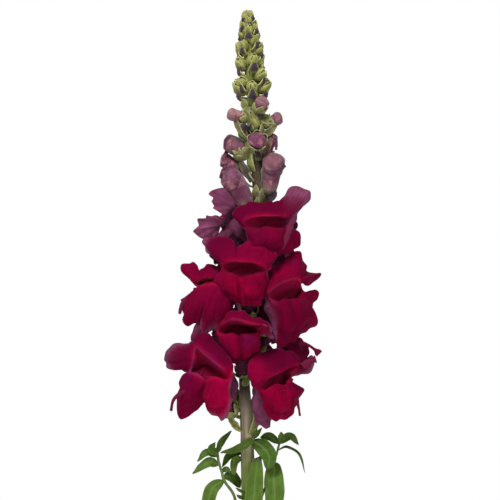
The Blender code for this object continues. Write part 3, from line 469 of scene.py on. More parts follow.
# Side shoots: height and azimuth on the stem, points as x, y, height in mm, and radius
Shoot = namedtuple("Shoot", "height azimuth points radius")
SHOOTS = {
    "shoot_left": Shoot(-9.0, -100, [(-5.6, -2.5, 3.6), (-11.0, -4.5, 12.0), (-12.6, -5.0, 17.4),
                                     (-14.4, -5.2, 23.4), (-15.2, -5.2, 29.0)], 0.85),
    "shoot_right": Shoot(-7.0, 78, [(12.0, 1.0, 4.0), (17.2, 2.0, 15.0), (18.8, 1.6, 22.8),
                                    (20.4, 1.2, 28.2), (21.8, 0.8, 33.6)], 0.75),
}
SHOOT_ELBOW = (1.6, 0.5)
SHOOT_TAPER = (1.15, 0.85)

# Leaves: what holds the leaf, where, azimuth and elevation that it leaves at, points of its midrib as
# x, y, height in mm, greatest width in mm, and the way its upper face looks
Leaf = namedtuple("Leaf", "holder at azimuth rise midrib width face")
LEAVES = [
    Leaf("shoot_left", 1.0, 60, 75, [(-12.6, -7.2, 35.6), (-6.8, -8.5, 42.6)], 4.6, (-0.6, -0.8, 0.2)),
    Leaf("shoot_left", 0.93, -95, 30, [(-21.5, -7.2, 29.4), (-27.0, -9.0, 24.4)], 5.0, (-0.2, -0.8, 0.6)),
    Leaf("shoot_left", 0.79, -80, 15, [(-20.6, -8.5, 23.6), (-30.0, -11.0, 17.4)], 6.2,
         (-0.2, -0.9, 0.5)),
    Leaf("stem", 37.5, 42, 5, [(3.0, -6.6, 35.0), (-4.8, -7.2, 31.2), (-13.4, -8.6, 29.6)], 4.8,
         (0.0, -0.9, 0.4)),
    Leaf("stem", 26.5, -122, 20, [(-7.5, 3.6, 26.6), (-12.6, 0.8, 19.4)], 5.4, (-0.3, -0.8, 0.5)),
    Leaf("stem", 25.0, -84, 10, [(-5.0, -0.8, 22.8), (-5.6, -1.6, 14.4)], 5.0, (-0.3, -0.9, 0.1)),
    Leaf("shoot_left", 0.585, 100, 20, [(-5.8, -0.6, 13.4), (-1.6, 3.6, 7.0)], 7.4, (0.3, -0.9, 0.4)),
    Leaf("shoot_left", 0.51, -70, 5, [(-18.2, -8.0, 7.8), (-21.0, -9.5, -3.5), (-19.8, -9.0, -15.0)],
         8.4, (-0.25, -0.95, 0.2)),
    Leaf("shoot_right", 1.0, -80, 40, [(15.8, 0.4, 38.0), (10.4, 0.6, 37.4)], 5.2, (0.0, -0.9, 0.4)),
    Leaf("shoot_right", 1.0, 0, 80, [(23.0, -1.2, 38.0), (22.8, -2.2, 41.2)], 4.0, (-0.2, -0.9, 0.2)),
    Leaf("shoot_right", 1.0, 85, 30, [(28.2, 1.0, 38.0), (33.4, 0.2, 33.0)], 5.2, (0.1, -0.8, 0.6)),
    Leaf("shoot_right", 0.88, 80, 20, [(26.4, -0.5, 31.8), (33.8, -2.0, 27.4), (37.0, -2.5, 16.8)], 2.4,
         (0.2, -0.5, 0.9)),
    Leaf("stem", 35.0, 70, 10, [(12.2, -5.6, 32.0), (15.6, -7.8, 26.6), (14.8, -8.2, 19.4)], 10.0,
         (0.1, -0.95, 0.3)),
    Leaf("shoot_right", 0.655, 0, -10, [(18.4, -4.6, 13.0), (18.6, -7.0, 1.0), (16.0, -6.5, -18.0)],
         12.0, (0.1, -1.0, 0.1)),
    Leaf("stem", -16.0, 12, 20, [(6.0, -7.6, -2.0), (7.2, -8.8, 12.0), (8.8, -7.4, 26.8)], 10.8,
         (-0.05, -1.0, -0.1)),
]
LEAF_ROUNDNESS = [0.7, 0.8, 0.8, 0.7, 0.8, 0.5, 0.6, 0.6, 0.7, 0.7, 0.8, 0.8, 0.5, 0.42, 0.36]
# Small leaves beside a leaf: points of the midrib as x, y, height in mm, and width
LEAFLETS = {
    2: [([(-14.7, -6.5, 28.2), (-18.4, -7.4, 31.4), (-16.4, -8.0, 35.7)], 5.2)],
    4: [([(6.6, -3.0, 37.2), (8.8, -3.4, 40.4), (11.4, -3.8, 44.0)], 2.6),
        ([(6.4, -3.6, 38.4), (7.6, -4.4, 41.6), (8.0, -4.6, 45.4)], 2.2)],
    7: [([(-12.8, -3.6, 17.6), (-9.8, -4.6, 19.2), (-7.4, -5.0, 17.2)], 3.4)],
    8: [([(2.0, -4.4, 4.6), (-1.8, -5.2, 6.6), (-4.4, -5.6, 8.4)], 1.8),
        ([(1.6, -4.4, 1.6), (-1.8, -5.4, 2.8), (-3.8, -5.8, 4.2)], 2.2)],
    15: [([(7.8, -6.0, 21.6), (9.4, -6.4, 24.4), (10.4, -6.6, 27.6)], 3.6)],
}
CAD_LEAF_THICKNESS = 0.7

# The vase's turned outline in mm: up the outside, over the lip and down the inside
VASE_OUTSIDE = [(31.0, 2.0), (35.0, 20.0), (36.5, 42.0), (33.5, 66.0), (25.0, 88.0), (17.0, 107.0),
                (13.5, 126.0), (13.7, 139.0), (16.3, 148.4)]
VASE_INSIDE = [(14.6, 149.0), (11.2, 142.0), (10.0, 126.0), (13.5, 107.0), (21.3, 88.0), (30.0, 66.0),
               (33.0, 42.0), (31.5, 20.0), (26.5, 6.0)]


class PetalSettings(bpy.types.PropertyGroup):
    """Sizes and colours of the open flowers."""
    thickness: bpy.props.FloatProperty(name="Petal thickness", description="Thickness of a petal",
                                       default=0.0006, min=0.0002, max=0.002, unit="LENGTH")
    ruffle: bpy.props.FloatProperty(name="Ruffle", description="Height of the waves along the margins",
                                    default=0.0011, min=0.0, max=0.004, unit="LENGTH")
    palate: bpy.props.FloatProperty(name="Palate", description="Height of the two bulges in the mouth",
                                    default=0.0046, min=0.0, max=0.008, unit="LENGTH")
    velvet: bpy.props.FloatVectorProperty(name="Velvet", description="Inner face of the petals",
                                          default=(0.250, 0.0003, 0.029), size=3, subtype="COLOR")
    mauve: bpy.props.FloatVectorProperty(name="Mauve", description="Outer face of the petals",
                                         default=(0.132, 0.034, 0.073), size=3, subtype="COLOR")
    margin: bpy.props.FloatVectorProperty(name="Margin", description="Thin pale edge of the petals",
                                          default=(0.135, 0.020, 0.058), size=3, subtype="COLOR")


class GreenSettings(bpy.types.PropertyGroup):
    """Colours of the stem, calyces, buds, tip and leaves."""
    stem: bpy.props.FloatVectorProperty(name="Stem", description="Green of the stem",
                                        default=(0.110, 0.140, 0.045), size=3, subtype="COLOR")
    calyx: bpy.props.FloatVectorProperty(name="Calyx", description="Green of calyces and tip",
                                         default=(0.215, 0.225, 0.045), size=3, subtype="COLOR")
    bract: bpy.props.FloatVectorProperty(name="Bract", description="Dark purple of the bracts",
                                         default=(0.035, 0.018, 0.032), size=3, subtype="COLOR")
    leaf: bpy.props.FloatVectorProperty(name="Leaf", description="Green of the leaves' upper face",
                                        default=(0.056, 0.118, 0.011), size=3, subtype="COLOR")
    bud: bpy.props.FloatVectorProperty(name="Bud", description="Mauve of the closed buds",
                                       default=(0.150, 0.048, 0.090), size=3, subtype="COLOR")


class VaseSettings(bpy.types.PropertyGroup):
    """Look of the vase."""
    glaze: bpy.props.FloatVectorProperty(name="Glaze", description="Colour of the vase's glaze",
                                         default=(0.740, 0.715, 0.655), size=3, subtype="COLOR")
    clay: bpy.props.FloatVectorProperty(name="Clay", description="Bare clay of the foot ring",
                                        default=(0.420, 0.330, 0.240), size=3, subtype="COLOR")


class StageSettings(bpy.types.PropertyGroup):
    """Camera, floor and light."""
    distance: bpy.props.FloatProperty(name="Camera distance", description="From the camera to the stem",
                                      default=0.8333, min=0.3, max=5.0, unit="LENGTH")
    height: bpy.props.FloatProperty(name="Camera height", description="Height of the camera",
                                    default=0.350, min=0.0, max=3.0, unit="LENGTH")
    daylight: bpy.props.FloatProperty(name="Room light", description="Strength of the even light",
                                      default=0.20, min=0.0, max=5.0)
    key: bpy.props.FloatProperty(name="Key light", description="Power of the large front light in watts",
                                 default=21.0, min=0.0, max=200.0)


class SnapdragonSettings(bpy.types.PropertyGroup):
    """Everything that the sidebar shows."""
    petals: bpy.props.PointerProperty(type=PetalSettings)
    greens: bpy.props.PointerProperty(type=GreenSettings)
    vase: bpy.props.PointerProperty(type=VaseSettings)
    stage: bpy.props.PointerProperty(type=StageSettings)


def settings():
    """The settings of this scene."""
    return bpy.context.scene.snapdragon


# Curves and frames

def ease(t):
    """Smooth step from 0 to 1, flat before 0 and after 1."""
    t = np.clip(t, 0.0, 1.0)
    return t * t * (3.0 - 2.0 * t)


def unit(v):
    """Vectors at length 1."""
    return v / np.maximum(np.linalg.norm(v, axis=-1, keepdims=True), 1e-12)


def between(table, at):
    """Values at places in a table of (place, value) rows, on a smooth curve through the rows."""
    places, values = np.array(table, float).T
    at = np.clip(np.asarray(at, float), places[0], places[-1])
    slopes = np.diff(values) / np.diff(places)
    ends = np.concatenate([slopes[:1], 0.5 * (slopes[:-1] + slopes[1:]), slopes[-1:]])
    i = np.clip(np.searchsorted(places, at, side="left") - 1, 0, len(slopes) - 1)
    span = places[i + 1] - places[i]
    t = (at - places[i]) / span
    value = values[i] + (values[i + 1] - values[i]) * ease(t)
    return value + span * (ends[i] * t * (1.0 - t) ** 2 - ends[i + 1] * t * t * (1.0 - t))


def bezier(points, t):
    """Points of a Bezier curve with any number of control points."""
    t = np.asarray(t, float)[..., None]
    points = [np.asarray(p, float) for p in points]
    while len(points) > 1:
        points = [a + (b - a) * t for a, b in zip(points, points[1:])]
    return points[0]


def through(points, t):
    """Points of a smooth curve that passes through every given point, t from 0 to 1."""
    points = np.asarray(points, float)
    padded = np.vstack([2 * points[0] - points[1], points, 2 * points[-1] - points[-2]])
    last = len(points) - 1
    at = np.clip(np.asarray(t, float), 0.0, 1.0) * last
    i = np.minimum(at.astype(int), last - 1)
    u = (at - i)[..., None]
    before, a, b, after = padded[i], padded[i + 1], padded[i + 2], padded[i + 3]
    cubic = (a - b) * 3.0 + after - before
    square = before * 2.0 - a * 5.0 + b * 4.0 - after
    return a + (b - before) * (0.5 * u) + square * (0.5 * u * u) + cubic * (0.5 * u ** 3)


def in_space(row):
    """World point of a table row of x, y and height above FLOWER_BASE in mm."""
    return np.array([row[0] * MM, row[1] * MM, FLOWER_BASE + row[2] * MM])


def heading(azimuth, rise):
    """Unit vector at an azimuth (0 towards the viewer, 90 to +X) and an elevation."""
    a = math.radians(azimuth)
    e = math.radians(rise)
    return np.array([math.sin(a) * math.cos(e), -math.cos(a) * math.cos(e), math.sin(e)])


def stem_centre(height):
    """Middle of the stem at a height above FLOWER_BASE in mm."""
    foot_height = (VASE_FLOOR + GAP - FLOWER_BASE) / MM
    neck_height = (VASE_NECK_HEIGHT - FLOWER_BASE) / MM
    if height >= 0.0:
        x = between(STEM_SWAY, height)
        y = 0.0
    elif height >= neck_height:
        t = ease(height / neck_height)
        x = STEM_SWAY[0][1] + (STEM_AT_NECK[0] - STEM_SWAY[0][1]) * t
        y = STEM_AT_NECK[1] * t
    else:
        t = (height - neck_height) / (foot_height - neck_height)
        t = t * t * (2.0 - t)
        x = STEM_AT_NECK[0] + (STEM_FOOT[0] - STEM_AT_NECK[0]) * t
        y = STEM_AT_NECK[1] + (STEM_FOOT[1] - STEM_AT_NECK[1]) * t
    return in_space((x, y, height))


def seat_on_stem(height, azimuth):
    """Point just off the stem's skin, and the way out from there."""
    outward = heading(azimuth, 0.0)
    radius = between(STEM_RADIUS, height) * MM
    return stem_centre(height) + outward * (radius + GAP), outward


def floret_foot(floret):
    """Seat on the stem, way out, stalk's way, cup's foot and the tube's first direction."""
    seat, outward = seat_on_stem(floret.height, floret.azimuth)
    stalk = unit(outward + np.array([0.0, 0.0, STALK_CLIMB]))
    foot = seat + outward * (STALK_STRAIGHT * MM) + stalk * (STALK_LENGTH * MM * floret.size)
    to_mouth = unit(in_space(floret.mouth) - foot)
    start = unit(to_mouth * (1.0 - STALK_PULL) + stalk * STALK_PULL)
    return seat, outward, stalk, foot, start


def face_frame(floret):
    """Middle of the mouth and the face's forward, right and up directions."""
    forward = heading(floret.face, floret.rise)
    right = unit(np.cross([0.0, 0.0, 1.0], forward))
    up = np.cross(forward, right)
    lean = math.radians(floret.roll)
    return (in_space(floret.mouth), forward, right * math.cos(lean) + up * math.sin(lean),
            up * math.cos(lean) - right * math.sin(lean))


def side_of(ahead, hint=(0.0, 0.0, 1.0)):
    """A unit vector square to ahead, level where that is possible."""
    side = np.cross(hint, ahead)
    if np.linalg.norm(side) < 1e-3:
        side = np.cross((1.0, 0.0, 0.0), ahead)
    return unit(side)


# Meshes

class Build:
    """Collects the patches of one piece: corners, faces, map places and values for its material."""

    def __init__(self):
        self.points = []
        self.faces = []
        self.maps = []
        self.values = {}
        self.count = 0

    def add(self, points, faces, maps=None, **values):
        """Adds one patch; each value is one number per corner or one for the whole patch."""
        points = np.asarray(points, float).reshape(-1, 3)
        for corners in faces:
            self.faces.append(np.asarray(corners, int) + self.count)
        if maps is None:
            maps = [np.zeros(np.shape(corners) + (2,)) for corners in faces]
        self.maps.extend(maps)
        for name in set(values) | set(self.values):
            rows = self.values.setdefault(name, [np.zeros(self.count)])
            given = np.asarray(values.get(name, 0.0), float)
            rows.append(np.broadcast_to(given.reshape(-1) if given.ndim else given, len(points)))
        self.points.append(points)
        self.count += len(points)

    def piece(self, name, material, slot, *nodes):
        """Makes the object, which takes the place of the named nodes."""
        mesh = bpy.data.meshes.new(name)
        points = np.concatenate(self.points)
        corners = np.concatenate([f.ravel() for f in self.faces])
        sizes = np.concatenate([np.full(len(f), f.shape[1]) for f in self.faces])
        mesh.vertices.add(len(points))
        mesh.vertices.foreach_set("co", points.ravel())
        mesh.loops.add(len(corners))
        mesh.loops.foreach_set("vertex_index", corners)
        mesh.polygons.add(len(sizes))
        mesh.polygons.foreach_set("loop_start", np.concatenate([[0], np.cumsum(sizes)[:-1]]))
        mesh.update(calc_edges=True)
        places = np.concatenate([m.reshape(-1, 2) for m in self.maps])
        mesh.uv_layers.new(name="grain").uv.foreach_set("vector", places.ravel())
        for key, rows in self.values.items():
            layer = mesh.attributes.new(key, "FLOAT", "POINT")
            layer.data.foreach_set("value", np.concatenate(rows).astype(np.float32))
        mesh.shade_smooth()
        mesh.materials.append(material)
        thing = bpy.data.objects.new(name, mesh)
        bpy.context.scene.collection.objects.link(thing)
        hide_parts(*nodes)
        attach(thing, "root")
        return thing


def grid_faces(rows, cols, wrap):
    """Quads of a grid of corners and their map places, u across the columns and v along the rows."""
    r, c = np.meshgrid(np.arange(rows - 1), np.arange(cols if wrap else cols - 1), indexing="ij")
    r = r.ravel()
    c = c.ravel()
    following = (c + 1) % cols
    faces = np.stack([r * cols + c, r * cols + following, (r + 1) * cols + following, (r + 1) * cols + c],
                     axis=1)
    width = cols if wrap else cols - 1
    u = np.stack([c, c + 1, c + 1, c], axis=1) / width
    v = np.stack([r, r, r + 1, r + 1], axis=1)
    return faces, u, v


def grid_normals(grid, wrap):
    """Unit normals of a grid of points."""
    if wrap:
        across = np.roll(grid, -1, axis=1) - np.roll(grid, 1, axis=1)
    else:
        across = np.gradient(grid, axis=1)
    along = np.gradient(grid, axis=0)
    return unit(np.cross(across, along))


def add_sheet(build, middle, normal, thick, wrap, heights=None, **values):
    """A sheet with two faces and a closed edge; the value named inner is 1 on the normal's side."""
    rows, cols = middle.shape[:2]
    thick = np.broadcast_to(thick, (rows, cols))[..., None]
    front = middle + normal * (0.5 * thick)
    back = middle - normal * (0.5 * thick)
    faces, u, v = grid_faces(rows, cols, wrap)
    level = np.arange(rows, dtype=float) if heights is None else np.asarray(heights, float)
    maps = np.stack([u, level[v]], axis=-1)
    count = rows * cols
    strips = []
    places = []
    steps = np.arange(cols if wrap else cols - 1)
    after = (steps + 1) % cols
    last = (rows - 1) * cols
    strips.append(np.stack([last + steps, last + after, count + last + after, count + last + steps], axis=1))
    strips.append(np.stack([after, steps, count + steps, count + after], axis=1))
    for row, order in ((rows - 1, (0, 1, 1, 0)), (0, (1, 0, 0, 1))):
        place = np.zeros((len(steps), 4, 2))
        place[..., 0] = (steps[:, None] + np.array(order)) / len(steps)
        place[..., 1] = level[row]
        places.append(place)
    if not wrap:
        low = np.arange(rows - 1) * cols
        high = low + cols
        far = cols - 1
        strips.append(np.stack([low, high, count + high, count + low], axis=1))
        strips.append(np.stack([high + far, low + far, count + low + far, count + high + far], axis=1))
        for column, order in ((0.0, (0, 1, 1, 0)), (1.0, (1, 0, 0, 1))):
            place = np.zeros((rows - 1, 4, 2))
            place[..., 0] = column
            place[..., 1] = level[np.arange(rows - 1)[:, None] + np.array(order)]
            places.append(place)
    all_faces = [faces, faces[:, ::-1] + count] + strips
    all_maps = [maps, maps[:, ::-1]] + places
    corner = front.reshape(-1, 3)[faces]
    turned = np.cross(corner[:, 1] - corner[:, 0], corner[:, 3] - corner[:, 0])
    if (turned * normal.reshape(-1, 3)[faces[:, 0]]).sum() < 0.0:
        all_faces = [f[:, ::-1] for f in all_faces]
        all_maps = [m[:, ::-1] for m in all_maps]
    doubled = {key: np.tile(np.broadcast_to(value, (rows, cols)).ravel(), 2)
               for key, value in values.items()}
    side = np.repeat([1.0, 0.0], count)
    build.add(np.concatenate([front.reshape(-1, 3), back.reshape(-1, 3)]), all_faces, all_maps,
              inner=side, **doubled)


def add_rings(build, rings, heights=None, **values):
    """A closed solid from rings of corners (rows, sides, 3), with a fan at each end."""
    rows, sides = rings.shape[:2]
    faces, u, v = grid_faces(rows, sides, True)
    level = np.arange(rows, dtype=float) if heights is None else np.asarray(heights, float)
    maps = np.stack([u, level[v]], axis=-1)
    count = rows * sides
    steps = np.arange(sides)
    after = (steps + 1) % sides
    last = (rows - 1) * sides
    foot = np.stack([np.full(sides, count), after, steps], axis=1)
    head = np.stack([np.full(sides, count + 1), last + steps, last + after], axis=1)
    points = np.concatenate([rings.reshape(-1, 3), rings[0].mean(axis=0)[None], rings[-1].mean(axis=0)[None]])
    corner = points[faces]
    turned = np.cross(corner[:, 1] - corner[:, 0], corner[:, 3] - corner[:, 0])
    outward = corner[:, 0] - np.repeat(rings.mean(axis=1), sides, axis=0)[faces[:, 0]]
    all_faces = [faces, foot, head]
    ends = [np.zeros((sides, 3, 2)), np.zeros((sides, 3, 2))]
    ends[0][..., 1] = level[0]
    ends[1][..., 1] = level[-1]
    all_maps = [maps] + ends
    if (turned * outward).sum() < 0.0:
        all_faces = [f[:, ::-1] for f in all_faces]
        all_maps = [m[:, ::-1] for m in all_maps]
    grown = {}
    for key, value in values.items():
        value = np.broadcast_to(value, (rows, sides))
        grown[key] = np.concatenate([value.ravel(), [value[0].mean(), value[-1].mean()]])
    build.add(points, all_faces, all_maps, **grown)


def rings_along(centres, radii, sides, first=(1.0, 0.0, 0.0)):
    """Rings of corners round a curve, turned along it without a twist; radii may vary round a ring."""
    centres = np.asarray(centres, float)
    radii = np.asarray(radii, float)
    if radii.ndim == 1:
        radii = np.repeat(radii[:, None], sides, axis=1)
    ahead = unit(np.gradient(centres, axis=0))
    side = np.array(first, float)
    a = np.linspace(0.0, 2.0 * math.pi, sides, endpoint=False)
    rings = np.zeros((len(centres), sides, 3))
    for i, way in enumerate(ahead):
        side = unit(side - way * side.dot(way))
        other = np.cross(way, side)
        rings[i] = centres[i] + (np.cos(a)[:, None] * side + np.sin(a)[:, None] * other) * radii[i][:, None]
    return rings


# Shader helpers

class Nodes:
    """Short ways to add and join nodes in one node tree."""

    def __init__(self, tree):
        self.tree = tree

    def add(self, kind, **fields):
        """A node of one kind with its plain fields set."""
        node = self.tree.nodes.new(kind)
        for key, value in fields.items():
            setattr(node, key, value)
        return node

    def put(self, target, value):
        """Joins a socket to an input, or sets the input's own value."""
        if isinstance(value, bpy.types.NodeSocket):
            self.tree.links.new(value, target)
        elif isinstance(value, (tuple, list)) and len(value) == 3 and target.type == "RGBA":
            target.default_value = (*value, 1.0)
        else:
            target.default_value = value

    def attribute(self, name):
        """One of the values stored on the mesh."""
        return self.add("ShaderNodeAttribute", attribute_name=name).outputs["Fac"]

    def math(self, operation, a, b=0.0, clamp=False):
        """One sum."""
        node = self.add("ShaderNodeMath", operation=operation, use_clamp=clamp)
        self.put(node.inputs[0], a)
        self.put(node.inputs[1], b)
        return node.outputs[0]

    def mix(self, factor, a, b, blend="MIX"):
        """A blend of two colours."""
        node = self.add("ShaderNodeMix", data_type="RGBA", blend_type=blend)
        self.put(node.inputs["Factor"], factor)
        self.put(node.inputs["A"], a)
        self.put(node.inputs["B"], b)
        return node.outputs["Result"]

    def span(self, value, low, high, to_low=0.0, to_high=1.0):
        """A value moved from one range to another and held inside it."""
        node = self.add("ShaderNodeMapRange", interpolation_type="SMOOTHSTEP")
        self.put(node.inputs["Value"], value)
        self.put(node.inputs["From Min"], low)
        self.put(node.inputs["From Max"], high)
        self.put(node.inputs["To Min"], to_low)
        self.put(node.inputs["To Max"], to_high)
        return node.outputs["Result"]

    def noise(self, place, scale, detail=3.0, rough=0.55):
        """Soft noise at a scale in features a metre."""
        node = self.add("ShaderNodeTexNoise")
        self.put(node.inputs["Vector"], place)
        self.put(node.inputs["Scale"], scale)
        self.put(node.inputs["Detail"], detail)
        self.put(node.inputs["Roughness"], rough)
        return node.outputs["Fac"]

    def group(self, tree, **values):
        """A node group with its inputs given by name, underscores for spaces."""
        node = self.add("ShaderNodeGroup")
        node.node_tree = tree
        for key, value in values.items():
            self.put(node.inputs[key.replace("_", " ")], value)
        return node


def new_group(name, inputs, outputs):
    """An empty shader node group, its Nodes helper and its input and output nodes."""
    tree = bpy.data.node_groups.new(name, "ShaderNodeTree")
    for label, default in inputs:
        kind = "NodeSocketFloat"
        if isinstance(default, tuple):
            kind = "NodeSocketColor"
        socket = tree.interface.new_socket(label, in_out="INPUT", socket_type=kind)
        socket.default_value = (*default, 1.0) if isinstance(default, tuple) else default
    for label, kind in outputs:
        tree.interface.new_socket(label, in_out="OUTPUT", socket_type=kind)
    nodes = Nodes(tree)
    return tree, nodes, nodes.add("NodeGroupInput").outputs, nodes.add("NodeGroupOutput").inputs


def mottle_group():
    """Blotches of two sizes between two colours."""
    made = bpy.data.node_groups.get("plant_mottle")
    if made:
        return made
    tree, n, given, out = new_group(
        "plant_mottle",
        [("Colour", (0.5, 0.5, 0.5)), ("Other Colour", (0.3, 0.3, 0.3)), ("Size", 90.0), ("Amount", 1.0),
         ("Low", 0.38), ("High", 0.62)],
        [("Colour", "NodeSocketColor"), ("Mask", "NodeSocketFloat")])
    place = n.add("ShaderNodeTexCoord").outputs["Object"]
    broad = n.noise(place, given["Size"], 2.0)
    fine = n.noise(place, n.math("MULTIPLY", given["Size"], 5.3), 3.0)
    both = n.math("ADD", n.math("MULTIPLY", broad, 0.7), n.math("MULTIPLY", fine, 0.3))
    mask = n.math("MULTIPLY", n.span(both, given["Low"], given["High"]), given["Amount"], clamp=True)
    n.put(out["Colour"], n.mix(mask, given["Colour"], given["Other Colour"]))
    n.put(out["Mask"], mask)
    return tree


def vein_group():
    """Fine lines that run along a petal or leaf, from its map: a mask and a height."""
    made = bpy.data.node_groups.get("fine_veins")
    if made:
        return made
    tree, n, given, out = new_group(
        "fine_veins",
        [("Lines", 60.0), ("Wander", 0.25), ("Lean", 0.0), ("Sharpness", 3.0)],
        [("Mask", "NodeSocketFloat"), ("Height", "NodeSocketFloat")])
    split = n.add("ShaderNodeSeparateXYZ")
    n.put(split.inputs[0], n.add("ShaderNodeUVMap", uv_map="grain").outputs["UV"])
    place = n.add("ShaderNodeTexCoord").outputs["Object"]
    drift = n.math("MULTIPLY", n.math("SUBTRACT", n.noise(place, 260.0, 2.0), 0.5), given["Wander"])
    slant = n.math("MULTIPLY", split.outputs["Y"], given["Lean"])
    across = n.math("ADD", split.outputs["X"], n.math("ADD", n.math("MULTIPLY", drift, 0.1), slant))
    wave = n.math("SINE", n.math("MULTIPLY", across, n.math("MULTIPLY", given["Lines"], 2.0 * math.pi)))
    ridge = n.math("POWER", n.math("ADD", n.math("MULTIPLY", wave, 0.5), 0.5), given["Sharpness"])
    broken = n.span(n.noise(place, 420.0, 2.0), 0.30, 0.60)
    mask = n.math("MULTIPLY", ridge, broken)
    n.put(out["Mask"], mask)
    n.put(out["Height"], ridge)
    return tree


def hair_group():
    """Short soft hairs and sap glands: a height and a pale fleck mask."""
    made = bpy.data.node_groups.get("soft_hairs")
    if made:
        return made
    tree, n, given, out = new_group(
        "soft_hairs", [("Size", 2600.0), ("Low", 0.62), ("High", 0.78)],
        [("Height", "NodeSocketFloat"), ("Flecks", "NodeSocketFloat")])
    place = n.add("ShaderNodeTexCoord").outputs["Object"]
    cells = n.add("ShaderNodeTexVoronoi", feature="F1")
    n.put(cells.inputs["Vector"], place)
    n.put(cells.inputs["Scale"], given["Size"])
    dots = n.math("SUBTRACT", 1.0, cells.outputs["Distance"])
    soft = n.noise(place, n.math("MULTIPLY", given["Size"], 0.6), 3.0)
    n.put(out["Height"], n.math("ADD", n.math("MULTIPLY", dots, 0.5), n.math("MULTIPLY", soft, 0.5)))
    n.put(out["Flecks"], n.span(soft, given["Low"], given["High"]))
    return tree


def new_material(name):
    """A material with its nodes helper and its Principled shader."""
    made = bpy.data.materials.new(name)
    made.use_nodes = True
    n = Nodes(made.node_tree)
    return made, n, made.node_tree.nodes["Principled BSDF"].inputs


def add_bump(n, shader, height, strength, distance):
    """A bump from a height, in real metres."""
    bump = n.add("ShaderNodeBump")
    bump.inputs["Strength"].default_value = strength
    bump.inputs["Distance"].default_value = distance
    n.put(bump.inputs["Height"], height)
    n.put(shader["Normal"], bump.outputs["Normal"])


def scaled(colour, factor):
    """A colour made lighter or darker."""
    return tuple(min(1.0, c * factor) for c in colour)


def petal_material():
    """Crimson velvet inside, veined mauve outside, pale margins, painted shade in the throat and on the lips, and
    painted highlights.
    """
    made = bpy.data.materials.get("snapdragon petal")
    if made:
        return made
    made, n, shader = new_material("snapdragon petal")
    look = settings().petals
    velvet = tuple(look.velvet)
    mauve = tuple(look.mauve)
    margin = tuple(look.margin)
    edge = n.attribute("edge")
    deep = n.attribute("deep")
    crease = n.attribute("crease")
    tone = n.attribute("tone")
    veins = n.group(vein_group(), Lines=72.0, Wander=0.35, Sharpness=4.0)
    hairs = n.group(hair_group(), Size=3000.0, Low=0.60, High=0.76)
    blotch = n.group(mottle_group(), Colour=velvet, Other_Colour=scaled(velvet, 0.56), Size=85.0,
                     Amount=0.85)
    purple = n.group(mottle_group(), Colour=blotch.outputs["Colour"], Other_Colour=(0.155, 0.004, 0.060),
                     Size=48.0, Amount=0.75, Low=0.52, High=0.66)
    inside = n.mix(n.math("MULTIPLY", veins.outputs["Mask"], 0.45), purple.outputs["Colour"],
                   scaled(velvet, 0.42))
    inside = n.mix(n.math("MULTIPLY", crease, n.span(hairs.outputs["Flecks"], 0.0, 1.0, 0.45, 0.8)), inside,
                   (0.220, 0.040, 0.095))
    # Painted shade: tone darkens the velvet; the next line paints a highlight that lightens it to a brighter crimson.
    inside = n.mix(tone, inside, (0.090, 0.0006, 0.018))
    inside = n.mix(n.attribute("glow"), inside, scaled(velvet, 1.35))
    # Painted shade in the tube and throat: deep darkens the velvet there.
    inside = n.mix(deep, inside, (0.150, 0.0040, 0.024))
    outside = n.group(mottle_group(), Colour=mauve, Other_Colour=scaled(mauve, 1.75), Size=70.0, Amount=0.8)
    outside = n.mix(n.math("MULTIPLY", veins.outputs["Mask"], 0.75), outside.outputs["Colour"],
                    (0.085, 0.014, 0.040))
    outside = n.mix(n.attribute("shadow"), outside, (0.050, 0.006, 0.019))
    skin = n.math("SUBTRACT", n.attribute("inner"), n.attribute("mauve"), clamp=True)
    colour = n.mix(skin, outside, inside)
    colour = n.mix(n.math("MULTIPLY", edge, n.span(hairs.outputs["Flecks"], 0.0, 1.0, 0.35, 0.75)), colour,
                   margin)
    n.put(shader["Base Color"], colour)
    n.put(shader["Roughness"], n.span(purple.outputs["Mask"], 0.0, 1.0, 0.92, 0.72))
    shader["Specular IOR Level"].default_value = 0.02
    shader["Sheen Weight"].default_value = 0.02
    shader["Sheen Roughness"].default_value = 0.5
    shader["Sheen Tint"].default_value = (0.9, 0.15, 0.45, 1.0)
    height = n.math("ADD", n.math("MULTIPLY", hairs.outputs["Height"], 0.55),
                    n.math("MULTIPLY", veins.outputs["Height"], 0.45))
    add_bump(n, shader, height, 0.55, 0.00012)
    return made


def green_material(name, colour, other, size, pale):
    """A soft green skin with blotches, veins, short hairs and a paler edge."""
    made = bpy.data.materials.get(name)
    if made:
        return made
    made, n, shader = new_material(name)
    hairs = n.group(hair_group(), Size=2300.0, Low=0.55, High=0.72)
    skin = n.group(mottle_group(), Colour=colour, Other_Colour=other, Size=size, Amount=0.9)
    veins = n.group(vein_group(), Lines=9.0, Wander=0.5, Sharpness=2.0)
    shade = n.mix(n.math("MULTIPLY", veins.outputs["Mask"], 0.35), skin.outputs["Colour"],
                  scaled(colour, 0.6))
    shade = n.mix(n.math("MULTIPLY", hairs.outputs["Flecks"], 0.55), shade, pale)
    shade = n.mix(n.math("MULTIPLY", n.attribute("edge"), 0.6), shade, pale)
    shade = n.mix(n.attribute("dark"), shade, tuple(settings().greens.bract))
    n.put(shader["Base Color"], shade)
    n.put(shader["Roughness"], n.span(skin.outputs["Mask"], 0.0, 1.0, 0.58, 0.78))
    shader["Specular IOR Level"].default_value = 0.18
    shader["Sheen Weight"].default_value = 0.12
    height = n.math("ADD", n.math("MULTIPLY", hairs.outputs["Height"], 0.6),
                    n.math("MULTIPLY", veins.outputs["Height"], 0.4))
    add_bump(n, shader, height, 0.6, 0.00014)
    return made


def calyx_material():
    """Olive green of calyces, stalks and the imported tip."""
    green = tuple(settings().greens.calyx)
    return green_material("calyx green", green, (0.085, 0.095, 0.024), 210.0, (0.520, 0.510, 0.180))


